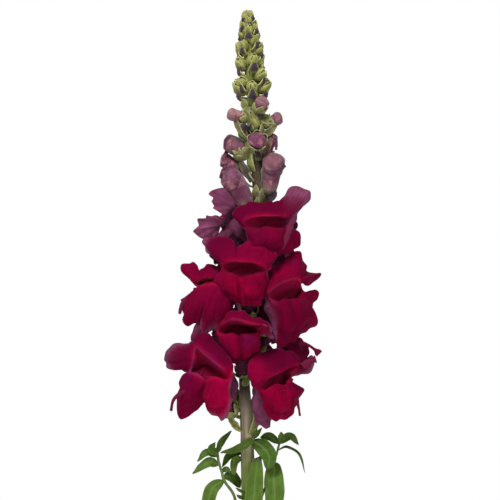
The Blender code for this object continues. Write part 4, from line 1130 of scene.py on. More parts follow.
def bud_material():
    """Mauve of the closed buds, mottled with pink, yellow and a darker tip."""
    made = bpy.data.materials.get("bud mauve")
    if made:
        return made
    made, n, shader = new_material("bud mauve")
    mauve = tuple(settings().greens.bud)
    green = tuple(settings().greens.calyx)
    hairs = n.group(hair_group(), Size=2600.0, Low=0.58, High=0.74)
    veins = n.group(vein_group(), Lines=18.0, Wander=0.8, Sharpness=3.0)
    skin = n.group(mottle_group(), Colour=mauve, Other_Colour=(0.085, 0.014, 0.042), Size=190.0, Amount=0.9)
    skin_red = n.mix(n.math("MULTIPLY", n.attribute("red"), 0.85), skin.outputs["Colour"], (0.120, 0.018, 0.034))
    pink = n.group(mottle_group(), Colour=skin_red, Other_Colour=(0.330, 0.140, 0.155),
                   Size=200.0, Amount=0.75, Low=0.50, High=0.62)
    base = n.mix(n.math("MULTIPLY", n.attribute("pale"), 0.85), pink.outputs["Colour"],
                 (0.400, 0.250, 0.190))
    petal = n.mix(n.math("MULTIPLY", veins.outputs["Mask"], 0.25), base, (0.130, 0.030, 0.065))
    # Painted shade: a dark line along each seam where one folded lip steps over the next.
    petal = n.mix(n.math("MULTIPLY", n.attribute("crease"), 0.8), petal, (0.070, 0.008, 0.030))
    sepal = n.group(mottle_group(), Colour=green, Other_Colour=(0.100, 0.085, 0.028), Size=190.0,
                    Amount=0.9)
    sepal_shade = n.mix(n.math("MULTIPLY", n.attribute("edge"), 0.6), sepal.outputs["Colour"],
                        (0.430, 0.430, 0.240))
    colour = n.mix(n.attribute("leafy"), petal, sepal_shade)
    colour = n.mix(n.math("MULTIPLY", hairs.outputs["Flecks"], 0.14), colour, (0.480, 0.360, 0.340))
    colour = n.mix(n.attribute("dark"), colour, tuple(settings().greens.bract))
    n.put(shader["Base Color"], colour)
    n.put(shader["Roughness"], n.span(skin.outputs["Mask"], 0.0, 1.0, 0.62, 0.82))
    shader["Specular IOR Level"].default_value = 0.15
    shader["Sheen Weight"].default_value = 0.15
    height = n.math("ADD", n.math("MULTIPLY", hairs.outputs["Height"], 0.6),
                    n.math("MULTIPLY", veins.outputs["Height"], 0.4))
    add_bump(n, shader, height, 0.6, 0.00014)
    return made


def leaf_material():
    """Green leaf: a paler midrib and side veins, a lighter underside."""
    made = bpy.data.materials.get("leaf green")
    if made:
        return made
    made, n, shader = new_material("leaf green")
    green = tuple(settings().greens.leaf)
    hairs = n.group(hair_group(), Size=1900.0, Low=0.58, High=0.74)
    veins = n.group(vein_group(), Lines=7.0, Wander=0.5, Lean=0.0, Sharpness=3.0)
    tone = n.attribute("tone")
    skin = n.group(mottle_group(), Colour=green, Other_Colour=scaled(green, 0.6), Size=120.0, Amount=0.8)
    light = n.mix(tone, skin.outputs["Colour"], (0.140, 0.220, 0.030))
    light = n.mix(n.math("MULTIPLY", veins.outputs["Mask"], 0.35), light, scaled(green, 0.45))
    under = n.mix(skin.outputs["Mask"], (0.110, 0.170, 0.040), (0.075, 0.128, 0.025))
    colour = n.mix(n.attribute("inner"), under, light)
    colour = n.mix(n.math("MULTIPLY", n.attribute("rib"), 0.45), colour, (0.200, 0.270, 0.080))
    colour = n.mix(n.math("MULTIPLY", n.attribute("edge"), 0.25), colour, (0.200, 0.240, 0.080))
    colour = n.mix(n.attribute("dark"), colour, (0.050, 0.045, 0.040))
    n.put(shader["Base Color"], colour)
    n.put(shader["Roughness"], n.span(skin.outputs["Mask"], 0.0, 1.0, 0.48, 0.66))
    shader["Specular IOR Level"].default_value = 0.14
    height = n.math("ADD", n.math("MULTIPLY", hairs.outputs["Height"], 0.35),
                    n.math("MULTIPLY", veins.outputs["Height"], 0.65))
    add_bump(n, shader, height, 0.6, 0.00016)
    return made


def stem_material():
    """Stem: grey tan and reddish brown streaks over green, changing with height, with painted shadow under the lowest
    flowers.
    """
    made = bpy.data.materials.get("stem skin")
    if made:
        return made
    made, n, shader = new_material("stem skin")
    green = tuple(settings().greens.stem)
    place = n.add("ShaderNodeTexCoord").outputs["Object"]
    split = n.add("ShaderNodeSeparateXYZ")
    n.put(split.inputs[0], place)
    stretch = n.add("ShaderNodeMapping")
    stretch.inputs["Scale"].default_value = (1.0, 1.0, 0.06)
    n.put(stretch.inputs["Vector"], place)
    streak = n.noise(stretch.outputs["Vector"], 480.0, 3.0)
    broad = n.noise(stretch.outputs["Vector"], 170.0, 2.0)
    ramp = n.add("ShaderNodeValToRGB")
    # Colours up the stem by height: the dark band from 0.592 to 0.610, just under the lowest flowers, is painted
    # shadow.
    stops = [(0.00, (0.150, 0.185, 0.060)), (0.45, (0.140, 0.190, 0.035)), (0.488, (0.150, 0.190, 0.045)),
             (0.515, (0.340, 0.280, 0.180)), (0.565, (0.440, 0.365, 0.255)), (0.592, (0.075, 0.062, 0.040)), (0.610, (0.045, 0.036, 0.027)),
             (0.70, (0.070, 0.085, 0.030)), (0.83, (0.060, 0.038, 0.020)), (0.90, (0.048, 0.028, 0.018)),
             (1.0, (0.160, 0.180, 0.050))]
    while len(ramp.color_ramp.elements) < len(stops):
        ramp.color_ramp.elements.new(0.5)
    for element, (place_at, colour) in zip(ramp.color_ramp.elements, stops):
        element.position = place_at
        element.color = (*colour, 1.0)
    n.put(ramp.inputs["Fac"], n.math("DIVIDE", split.outputs["Z"], 0.45))
    skin = n.mix(n.span(broad, 0.50, 0.66, 0.0, 0.6), ramp.outputs["Color"], green)
    skin = n.mix(n.span(streak, 0.56, 0.74, 0.0, 0.5), skin, (0.075, 0.045, 0.032))
    hairs = n.group(hair_group(), Size=2000.0, Low=0.58, High=0.72)
    skin = n.mix(n.math("MULTIPLY", hairs.outputs["Flecks"], 0.28), skin, (0.340, 0.330, 0.200))
    skin = n.mix(n.attribute("cut"), skin, (0.420, 0.440, 0.230))
    n.put(shader["Base Color"], skin)
    n.put(shader["Roughness"], n.span(streak, 0.3, 0.7, 0.55, 0.75))
    shader["Specular IOR Level"].default_value = 0.25
    height = n.math("ADD", n.math("MULTIPLY", streak, 0.6), n.math("MULTIPLY", hairs.outputs["Height"], 0.4))
    add_bump(n, shader, height, 0.7, 0.0002)
    return made


def glaze_material():
    """Pale glaze with a soft cloud of colour, fine specks, and bare clay under the foot."""
    made = bpy.data.materials.get("vase glaze")
    if made:
        return made
    made, n, shader = new_material("vase glaze")
    look = settings().vase
    glaze = tuple(look.glaze)
    place = n.add("ShaderNodeTexCoord").outputs["Object"]
    split = n.add("ShaderNodeSeparateXYZ")
    n.put(split.inputs[0], place)
    cloud = n.group(mottle_group(), Colour=glaze, Other_Colour=scaled(glaze, 0.90), Size=26.0, Amount=0.9)
    specks = n.add("ShaderNodeTexVoronoi", feature="F1")
    n.put(specks.inputs["Vector"], place)
    n.put(specks.inputs["Scale"], 260.0)
    speck = n.math("MULTIPLY", n.span(specks.outputs["Distance"], 0.10, 0.04),
                   n.span(n.noise(place, 120.0, 1.0), 0.52, 0.62))
    colour = n.mix(n.math("MULTIPLY", speck, 0.55), cloud.outputs["Colour"], (0.230, 0.170, 0.110))
    thin = n.math("MULTIPLY", n.span(split.outputs["Z"], 0.1475, 0.1495), 0.55)
    colour = n.mix(thin, colour, (0.480, 0.400, 0.300))
    grit = n.noise(place, 900.0, 4.0)
    bare = n.span(n.math("ADD", split.outputs["Z"], n.math("MULTIPLY", grit, 0.0006)), 0.0022, 0.0017)
    clay = n.mix(grit, scaled(tuple(look.clay), 0.8), scaled(tuple(look.clay), 1.15))
    n.put(shader["Base Color"], n.mix(bare, colour, clay))
    gloss = n.span(cloud.outputs["Mask"], 0.0, 1.0, 0.14, 0.24)
    n.put(shader["Roughness"], n.math("MAXIMUM", gloss, n.math("MULTIPLY", bare, 0.85)))
    shader["Coat Roughness"].default_value = 0.06
    n.put(shader["Coat Weight"], n.math("SUBTRACT", 0.6, n.math("MULTIPLY", bare, 0.6), clamp=True))
    waves = n.noise(place, 55.0, 2.0)
    height = n.math("ADD", n.math("MULTIPLY", waves, 0.8), n.math("MULTIPLY", grit, 0.12))
    add_bump(n, shader, height, 0.35, 0.0006)
    return made


# Flowers

TUBE_ROWS = 15
LIP_STEPS = (7, 11, 14)             # rows from the tube to the mouth, to the middle and to the margin
COLUMN_STEPS = 6                    # columns for each row of a flower's table
GROOVE = 1.1                        # depth in mm of the fold under the palate's bulges
THROAT_ROW = 2                      # row past the tube's end where the throat closes


def plain_cage():
    """Table of a flower without anything that sets it apart, made from its right half."""
    upper = np.array(PLAIN_HALF)
    lower = np.array(PLAIN_LOW)
    mirror = np.array([-1.0, 1.0, 1.0, -1.0, 1.0, 1.0, -1.0, 1.0, 1.0])
    return np.concatenate([upper, upper[-2::-1] * mirror, lower * mirror, lower[-2::-1]])


def picture_point(px, py, depth):
    """Point in mm under a pixel of the photograph, at a depth on the Y axis."""
    way = np.array([(px - PICTURE_MIDDLE) * PIXEL, -CAMERA_AT[1], (PICTURE_MIDDLE - py) * PIXEL])
    return np.array(CAMERA_AT) + way * ((depth - CAMERA_AT[1]) / way[1])


def skin_depth(rings, px, py):
    """Depth in mm of the front of a body under a pixel, or of the part that shows nearest to it."""
    flat = (rings.reshape(-1, 3) - np.array([0.0, 0.0, FLOWER_BASE])) / MM
    shrink = -CAMERA_AT[1] / (flat[:, 1] - CAMERA_AT[1]) / PIXEL
    across = PICTURE_MIDDLE + (flat[:, 0] - CAMERA_AT[0]) * shrink
    down = PICTURE_MIDDLE - (flat[:, 2] - CAMERA_AT[2]) * shrink
    away = np.hypot(across - px, down - py)
    return flat[away < away.min() + 1.0, 1].min()


def picture_cage(number, floret):
    """Table of a flower from its outline in the photograph: points as right, up and ahead of its mouth."""
    mouth = np.array(floret.mouth)
    _, forward, right, up = face_frame(floret)
    axes = np.stack([right, up, forward], axis=1)
    eye = np.array(CAMERA_AT)
    sideways = number in SEEN_FROM_THE_SIDE
    swell_way = np.array([0.0, -1.0, 0.0]) if sideways else forward
    cage = []
    for row in LIPS[number]:
        filled = list(row) + [SWELL, RIM][len(row) - 6:]
        places = []
        for px, py, near in (filled[0:3], filled[3:6]):
            point = picture_point(px, py, mouth[1] - near)
            if not sideways:
                way = point - eye
                point = eye + way * ((near + forward.dot(mouth - eye)) / forward.dot(way))
            places.extend((point - mouth) @ axes)
        swell = swell_way @ axes * filled[6]
        cage.append(places + [swell[0], swell[2], filled[7]])
    return np.array(cage)


def closed_through(points, at):
    """Values on a smooth closed curve through rows, at row numbers that may have fractions."""
    points = np.asarray(points, float)
    count = len(points)
    first = np.floor(at).astype(int)
    u = (at - first).reshape((-1,) + (1,) * (points.ndim - 1))
    before, a, b, after = (points[(first + k) % count] for k in (-1, 0, 1, 2))
    cubic = (a - b) * 3.0 + after - before
    square = before * 2.0 - a * 5.0 + b * 4.0 - after
    return a + (b - before) * (0.5 * u) + square * (0.5 * u * u) + cubic * (0.5 * u ** 3)


def round_angles(cage, at):
    """Angle round the tube for each column, from where the table's mouth points lie."""
    angles = np.unwrap(np.arctan2(cage[:, 1], cage[:, 0] * 0.8))
    least = 0.02
    for k in range(1, len(angles)):
        angles[k] = max(angles[k], angles[k - 1] + least)
    span = angles[-1] + least - angles[0]
    if span > 2.0 * math.pi:
        angles = angles[0] + (angles - angles[0]) * (2.0 * math.pi / span)
    closed = np.append(angles, angles[0] + 2.0 * math.pi)
    even = angles[0] + np.arange(len(closed)) * 2.0 * math.pi / len(cage)
    return np.interp(at, np.arange(len(closed)), 0.75 * closed + 0.25 * even)


def corolla_grid(number, floret):
    """Middle surface of one flower and the values that its material reads."""
    look = settings().petals
    _, _, _, cup_foot, start = floret_foot(floret)
    mouth, forward, right, up = face_frame(floret)
    scale = floret.size * MM
    foot = cup_foot + start * (TUBE_LIFT * MM)
    reach_to_mouth = np.linalg.norm(mouth - foot)
    route = [foot, foot + start * (reach_to_mouth * TUBE_START_REACH),
             mouth - forward * (reach_to_mouth * TUBE_END_REACH), mouth]
    if number in TUBE_BEND:
        route[1] = route[1] + np.array(TUBE_BEND[number]) * MM
        route[2] = route[2] + np.array(TUBE_BEND[number]) * (0.5 * MM)
    if number in LIPS:
        cage = picture_cage(number, floret)
        grow = MM
    else:
        cage = plain_cage()
        grow = scale
    at = np.arange(len(cage) * COLUMN_STEPS) / COLUMN_STEPS
    a = round_angles(cage, at)
    turn = 2.0 * math.pi * at / len(cage)
    dice = np.random.default_rng(number)
    tube = np.zeros((TUBE_ROWS + 1, len(at), 3))
    times = np.linspace(0.0, TUBE_SHARE.get(number, 1.0), TUBE_ROWS + 1)
    for row, t in enumerate(times):
        centre = bezier(route, t)
        ahead = unit(bezier(route, min(t + NEAR, 1.0)) - bezier(route, max(t - NEAR, 0.0)))
        across = unit(right - ahead * right.dot(ahead))
        over = np.cross(ahead, across)
        wide = between(TUBE_WIDTH, t) * (1.0 + 0.03 * np.cos(5.0 * a + number))
        tall = between(TUBE_HEIGHT, t) + between(TUBE_POUCH, t) * np.maximum(0.0, -np.sin(a))
        tube[row] = centre + ((wide * np.cos(a))[:, None] * across + (tall * np.sin(a))[:, None] * over) * scale
    rows = closed_through(cage, at)
    axes = np.stack([right, up, forward])
    fold = mouth + rows[:, 0:3] @ axes * grow
    margin = mouth + rows[:, 3:6] @ axes * grow
    middle = 0.5 * (fold + margin) + right * (rows[:, 6:7] * grow) + forward * (rows[:, 7:8] * grow)
    beyond = margin + (margin - middle) * 0.6 - forward * (0.8 * MM)
    knots = np.stack([tube[-2], tube[-1], fold, middle, margin, beyond])
    parts = [tube[:-1]]
    place = [np.zeros(TUBE_ROWS)]
    for k, steps in enumerate(LIP_STEPS):
        u = (np.arange(steps) / steps)[:, None, None]
        before, p, q, after = knots[k:k + 4]
        cubic = (p - q) * 3.0 + after - before
        square = before * 2.0 - p * 5.0 + q * 4.0 - after
        parts.append(p + (q - before) * (0.5 * u) + square * (0.5 * u * u) + cubic * (0.5 * u ** 3))
        place.append(k + u.ravel())
    parts.append(margin[None])
    place.append(np.array([3.0]))
    grid = np.concatenate(parts)
    place = np.concatenate(place)[:, None]
    normal = grid_normals(grid, True)
    if (normal[0] * (foot - grid[0])).sum() < 0.0:
        normal = -normal
    inward = -forward
    lip = np.clip((place - 1.0) / 2.0, 0.0, 1.0)
    ruffle = np.zeros(grid.shape[:2])
    for waves, height in ((7, 0.5), (11, 0.5), (17, 0.42), (29, 0.26)):
        ruffle += height * np.sin(waves * turn + dice.uniform(0.0, 2.0 * math.pi) + 1.6 * lip)
    swollen = ease((rows[:, 7] - 3.2) / 1.6)
    groove = swollen * np.exp(-((place - 2.46) / 0.13) ** 2)
    grid = grid + normal * (look.ruffle * ruffle * lip ** 2.0)[..., None]
    grid = grid + inward * groove[..., None] * GROOVE * MM
    normal = grid_normals(grid, True)
    if (normal[0] * (foot - grid[0])).sum() < 0.0:
        normal = -normal
    gaps = np.linalg.norm(np.diff(grid, axis=0), axis=2) / MM
    along = np.concatenate([np.zeros((1, len(at))), np.cumsum(gaps, axis=0)])
    to_edge = along[-1] - along
    mouth_row = TUBE_ROWS + LIP_STEPS[0]
    past = along - along[mouth_row]
    upper = ease(0.5 + 1.6 * np.sin(a))
    sideways = (a + 0.5 * math.pi + math.pi) % (2.0 * math.pi) - math.pi
    flank = 1.0 - np.exp(-(sideways / 0.85) ** 4)
    # Painted shade: tone darkens the lips as TONES gives, more on the lower lip's flanks and in the groove under the
    # palate; a negative tone gives a painted highlight instead.
    above, below, above_right, below_right = TONES.get(number, PLAIN_TONE)
    tone = above * upper * ease(past / 4.0) + (1.0 - upper) * (below + 0.35 * flank + 0.7 * groove)
    tone = tone + np.cos(a) * lip * (above_right * upper + below_right * (1.0 - upper))
    # The deep value paints shade into the tube and throat; tone carries the painted shade of the lips.
    values = {
        "edge": 1.0 / (1.0 + (to_edge / np.clip(rows[:, 8], 0.3, 1.5)) ** 4),
        "mauve": ease((rows[:, 8] - 1.2) / 2.0) / (1.0 + (to_edge / np.maximum(rows[:, 8], 0.3)) ** 4),
        "deep": np.clip(1.0 - (place - 0.2) / 0.8, 0.0, 1.0) ** 0.7 + np.zeros_like(past),
        "crease": FOLD_LINES.get(number, 0.5) * np.exp(-((past - 0.2) / 0.45) ** 2) * upper,
        "tone": np.clip(tone, 0.0, 1.0),
        "glow": np.clip(-2.0 * tone, 0.0, 1.0),
    }
    thick = look.thickness * (1.0 - 0.5 * np.exp(-to_edge / 1.2))
    return grid, normal, thick, along.mean(axis=1) * 0.1, values


def add_throat(build, rim, deep):
    """The closed back of the throat: a skin across the funnel with the slit where the lips meet, painted dark as the
    throat's shade.
    """
    steps = 11
    lean = 0.30
    middle = rim.mean(axis=0)
    top = rim[np.argmax(rim[:, 2])]
    middle = middle + (top - middle) * lean
    t = np.linspace(0.0, 0.97, steps)[:, None, None]
    grid = middle + (rim[None] - middle) * (0.985 - t)
    normal = grid_normals(grid, True)
    if (normal * deep).sum() < 0.0:
        normal = -normal
    slit = -2.8 * MM * np.sin(0.5 * math.pi * np.linspace(0.0, 1.0, steps))[:, None, None]
    grid = grid + deep * slit
    # The deep and tone values paint shade on this skin.
    add_sheet(build, grid, normal, 0.3 * MM, True, None, deep=1.0, tone=0.3)


def add_flap(build, points, widths, curl_way=1.0, **values):
    """A curled strip along points in mm, its broad side towards the viewer; widths are in pixels."""
    t = np.linspace(0.0, 1.0, 18)
    x = np.linspace(-1.0, 1.0, 9)
    centre = through([in_space(point) for point in points], t)
    ahead = unit(np.gradient(centre, axis=0))
    across = unit(np.cross(np.array([0.0, -1.0, 0.0]), ahead))
    face = unit(np.cross(ahead, across))
    half = 0.5 * PIXEL * np.interp(t, np.linspace(0.0, 1.0, len(widths)), widths)
    half = half * (1.0 + 0.08 * np.sin(17.0 * t + widths[0]))
    curl = curl_way * 0.35 * half[:, None] * (1.0 - (x * x)[None, :]) - 0.25
    grid = centre[:, None] + (across[:, None] * (half[:, None] * x)[..., None] + face[:, None] * curl[..., None]) * MM
    normal = grid_normals(grid, False)
    if (normal * face[:, None]).sum() < 0.0:
        normal = -normal
    edge = np.maximum(np.abs(x)[None, :] ** 6, (t ** 12)[:, None])
    add_sheet(build, grid, normal, 0.5 * MM, False, t * 2.0, edge=edge, **values)


def make_corolla(number, floret):
    """One open flower: tube, palate and five lobes, as one thin closed sheet."""
    build = Build()
    grid, normal, thick, heights, values = corolla_grid(number, floret)
    add_sheet(build, grid, normal, thick, True, heights, **values)
    add_throat(build, grid[TUBE_ROWS + THROAT_ROW], face_frame(floret)[1])
    for points, widths, mauve, shade in PETAL_FLAPS.get(number, []):
        route = [picture_point(px, py, floret.mouth[1] - near) for px, py, near in points]
        # A flap's shade is painted shade on both faces: tone on the inner face, shadow on the outer.
        add_flap(build, route, widths, mauve=mauve, tone=shade, shadow=0.85 * shade)
    name = f"floret_{number:02d}"
    return build.piece(f"corolla_{number:02d}", petal_material(), "petal", name)


def add_sepals(build, foot, ahead, side, count, length, width, radii, flare, first=0.0, **values):
    """A ring of pointed sepals round an axis; radii is a table of distance from the axis in mm."""
    rows = 10
    cols = 7
    t = np.linspace(0.0, 1.0, rows)
    x = np.linspace(-1.0, 1.0, cols)
    over = np.cross(ahead, side)
    half = 0.5 * width * np.sin(math.pi * (0.16 + 0.84 * t) ** 0.8) ** 0.75
    half[-1] = 0.08 * width
    for k in range(count):
        turn = first + 2.0 * math.pi * k / count
        long = length * (1.0 + 0.10 * math.sin(3.1 * k + first))
        radius = between(radii, t) + flare * t ** 3
        angle = turn + (half / np.maximum(radius, 0.6))[:, None] * x
        bulge = 0.10 * width * (1.0 - x * x)[None, :] * np.sin(math.pi * t)[:, None]
        reach = radius[:, None] + bulge
        grid = (foot + (ahead * (long * t)[:, None, None] + np.cos(angle)[..., None] * reach[..., None] * side
                        + np.sin(angle)[..., None] * reach[..., None] * over) * MM)
        middle = foot + (ahead * (long * t)[:, None, None]) * MM
        normal = grid_normals(grid, False)
        if (normal * (grid - middle)).sum() < 0.0:
            normal = -normal
        edge = np.maximum(np.abs(x)[None, :] ** 4, (t ** 8)[:, None])
        add_sheet(build, grid, normal, 0.45 * MM, False, t, edge=edge, **values)


def add_bract(build, root, outward, length, width, hang, **values):
    """A small pointed bract that leaves the stem and bends down; hang is how far it turns, in degrees."""
    rows = 12
    cols = 7
    t = np.linspace(0.0, 1.0, rows)
    bend = math.radians(25.0) - math.radians(hang) * ease(t * 1.4)
    step = length / (rows - 1)
    out = np.concatenate([[0.0], np.cumsum(np.cos(bend[1:]) * step)])
    rise = np.concatenate([[0.0], np.cumsum(np.sin(bend[1:]) * step)])
    half = 0.5 * width * np.sin(math.pi * (0.12 + 0.88 * t) ** 0.85) ** 0.8
    half[-1] = 0.06 * width
    side = side_of(outward)
    x = np.linspace(-1.0, 1.0, cols)
    up = np.array([0.0, 0.0, 1.0])
    cup = 0.12 * width * (x * x)[None, :] * np.sin(math.pi * t)[:, None]
    flat = np.stack([-np.sin(bend), np.cos(bend)], axis=1)
    grid = root + (outward * (out[:, None] + cup * flat[:, :1])[..., None]
                   + up * (rise[:, None] + cup * flat[:, 1:])[..., None]
                   + side * (half[:, None] * x)[..., None]) * MM
    normal = grid_normals(grid, False)
    if (normal * up).sum() < 0.0 and hang < 100.0:
        normal = -normal
    edge = np.maximum(np.abs(x)[None, :] ** 4, (t ** 8)[:, None])
    add_sheet(build, grid, normal, 0.5 * MM, False, t, edge=edge, **values)


def add_cup_bract(build, root, ahead, length, width, shade, hollow=0.12, **values):
    """A bract that runs up and out from the stem: hollow above, green with a dark purple back."""
    rows = 14
    cols = 9
    t = np.linspace(0.0, 1.0, rows)
    x = np.linspace(-1.0, 1.0, cols)
    side = side_of(ahead)
    below = np.cross(ahead, side)
    if below[2] > 0.0:
        below = -below
    half = 0.5 * width * np.sin(math.pi * (0.14 + 0.86 * t) ** 0.9) ** 0.8
    half[-1] = 0.06 * width
    sag = hollow * length * np.sin(math.pi * t) ** 1.2 - 0.05 * length * t * t
    cup = 0.42 * half[:, None] * (1.0 - (x * x)[None, :])
    grid = (root + (ahead * (length * t)[:, None, None] + side * (half[:, None] * x)[..., None]
                    + below * (sag[:, None] + cup)[..., None]) * MM)
    normal = grid_normals(grid, False)
    if (normal * below).sum() < 0.0:
        normal = -normal
    edge = np.maximum(np.abs(x)[None, :] ** 4, (t ** 8)[:, None])
    dark = shade * ease((t[:, None] - 0.22) / 0.25) * ease((0.95 - np.abs(x)[None, :]) / 0.3)
    add_sheet(build, grid, normal, 0.5 * MM, False, t, edge=edge, dark=dark, **values)


def add_stalk(build, points, radii, sides=14, **values):
    """A round stalk along a smooth curve through points."""
    t = np.linspace(0.0, 1.0, 12)
    centres = through(points, t)
    radius = np.interp(t, np.linspace(0.0, 1.0, len(radii)), radii) * MM
    add_rings(build, rings_along(centres, radius, sides), t, **values)


def make_calyx(number, floret):
    """Stalk, cup, five sepals and bract under one flower."""
    build = Build()
    seat, outward, stalk, foot, start = floret_foot(floret)
    size = floret.size
    side = side_of(start, outward + np.array([0.1, 0.2, 0.3]))
    inside = seat - outward * (1.2 * MM)
    add_stalk(build, [inside, seat + outward * (0.8 * MM), foot - stalk * (0.9 * MM), foot + start * (0.5 * MM)],
              [1.5, STALK_RADIUS, STALK_RADIUS * 1.1, 2.4])
    cup = [foot + start * (h * MM) for h in (-0.5, 0.3, 1.1, 2.0, 2.2, 1.4)]
    add_rings(build, rings_along(cup[:4], np.array([1.6, 3.0, 3.7, 3.9]) * size * MM, 20), edge=0.0)
    table = [(0.0, 2.7 * size), (0.25, 4.0 * size), (0.6, 4.9 * size), (1.0, 5.2 * size)]
    leaf = size * SEPAL_SIZE.get(number, 1.0)
    add_sepals(build, foot, start, side, 5, 9.0 * leaf, 5.9 * leaf, table, 1.0, 0.6 * number, dark=0.12)
    turn, drop, rise, long, wide, shade = CALYX_BRACTS.get(number, (0, 5.0, 48, 8.5, 4.2, 0.4))
    height = floret.height - drop
    root = stem_centre(height) + heading(floret.azimuth + turn, 0.0) * ((between(STEM_RADIUS, height) - 0.4) * MM)
    add_cup_bract(build, root, heading(floret.azimuth + turn, rise), long, wide, shade)
    for points, widths, shade in CALYX_FLAPS.get(number, []):
        add_flap(build, [picture_point(px, py, -near) for px, py, near in points], widths, -1.0, dark=shade)
    return build.piece(f"calyx_leaves_{number:02d}", calyx_material(), "calyx", f"calyx_{number:02d}")


# Buds

def make_bud(number, bud):
    """A closed bud: folded lips over a swollen body, with its calyx, stalk and bract."""
    build = Build()
    seat, outward = seat_on_stem(bud.height, bud.azimuth)
    ahead = heading(bud.face, bud.rise)
    stalk_way = unit(outward + ahead)
    foot = seat + stalk_way * (bud.stalk * MM)
    up = np.array([0.0, 0.0, 1.0])
    bow = unit(np.cross(ahead, np.cross(up, ahead)))
    end = foot + ahead * (bud.length * MM)
    nod = -bow * (bud.nod * 0.45 * bud.length * MM)
    route = [foot, foot + ahead * (0.35 * bud.length * MM), end - ahead * (0.2 * bud.length * MM),
             end + nod - ahead * (0.12 * bud.nod * bud.length * MM)]
    rows = 46
    sides = 48
    t = np.linspace(0.0, 1.0, rows)
    centres = bezier(route, t)
    low = between([(0.0, 0.30), (0.06, 0.62), (0.2, 0.92), (0.36, 1.0), (0.55, 0.93), (0.75, 0.88),
                   (0.9, 0.66), (0.97, 0.36), (1.0, 0.08)], t)
    high = between([(0.0, 0.28), (0.06, 0.50), (0.2, 0.74), (0.4, 0.86), (0.6, 0.96), (0.76, 1.0),
                    (0.9, 0.80), (0.97, 0.44), (1.0, 0.08)], t)
    profile = low + (high - low) * bud.heavy
    first = side_of(ahead)
    a = np.linspace(0.0, 2.0 * math.pi, sides, endpoint=False)
    dice = np.random.default_rng(100 + number)
    seam = 0.60 + 0.16 * np.sin(a + 0.4) + 0.05 * np.sin(3.0 * a + dice.uniform(0.0, 6.0))
    flap = ease((t[:, None] - seam[None, :]) / 0.03)
    second = 0.80 + 0.13 * np.sin(a + math.pi + 0.6)
    flap2 = ease((t[:, None] - second[None, :]) / 0.03)
    lobes = 1.0 + 0.05 * np.cos(2.0 * a + 0.6)[None, :] * np.sin(math.pi * t)[:, None]
    lobes = lobes + 0.05 * np.cos(5.0 * a)[None, :] * (1.0 - t)[:, None]
    lump = 0.03 * np.sin(3.0 * a[None, :] + 7.0 * t[:, None] + dice.uniform(0.0, 6.0))
    fold = 0.05 * bud.radius + 0.25
    radii = bud.radius * profile[:, None] * (lobes + lump) * MM + (fold * flap - 0.9 * fold * flap2) * MM * (
        profile[:, None] > 0.3)
    rings = rings_along(centres, np.maximum(radii, 0.1 * MM), sides, first)
    # The crease value marks painted shade at the foot of each step in the bud's folded lips.
    line = np.exp(-((t[:, None] - seam[None, :] + 0.004) / 0.014) ** 2)
    line = np.maximum(line, np.exp(-((t[:, None] - second[None, :] - 0.01) / 0.014) ** 2))
    pale = (1.0 - bud.ripe) * ease(1.2 * t)[:, None] + 0.6 * ease((0.35 - t) / 0.3)[:, None]
    add_rings(build, rings, t, crease=line, pale=np.broadcast_to(pale, line.shape), leafy=0.0, red=bud.red)
    inside = seat - outward * (1.0 * MM)
    add_stalk(build, [inside, seat + outward * (0.8 * MM), foot - ahead * (0.6 * MM), foot + ahead * (0.8 * MM)],
              [1.3, BUD_STALK_RADIUS, BUD_STALK_RADIUS * 1.15, 0.45 * bud.radius], leafy=1.0)
    cover = bud.cover * bud.length
    table = [(0.0, 0.36 * bud.radius)]
    for part in (0.15, 0.4, 0.7, 1.0):
        at = part * bud.cover
        table.append((part, bud.radius * float(np.interp(at, t, profile)) + 0.45))
    width = 1.45 * bud.radius
    add_sepals(build, foot, ahead, first, 5, max(cover, 4.5), width, table, bud.flare, 0.9 * number, leafy=1.0,
               dark=bud.shade)
    for points, widths, green, shade, red in BUD_FLAPS.get(number, []):
        route = [picture_point(px, py, skin_depth(rings, px, py) - near) for px, py, near in points]
        add_flap(build, route, widths, -1.0, leafy=green, dark=shade, red=red)
    for points, widths, green, shade, red in BUD_LEAVES.get(number, []):
        route = [picture_point(px, py, -near) for px, py, near in points]
        add_flap(build, route, widths, -1.0, leafy=green, dark=shade, red=red)
    for height, turn_from, bract_rise, long, wide, shade in BUD_BRACTS[number]:
        way = bud.azimuth + turn_from
        root = stem_centre(height) + heading(way, 0.0) * ((between(STEM_RADIUS, height) - 0.4) * MM)
        add_cup_bract(build, root, heading(way, bract_rise), long, wide, shade, leafy=1.0)
    return build.piece(f"closed_bud_{number:02d}", bud_material(), "bud", f"bud_{number:02d}")


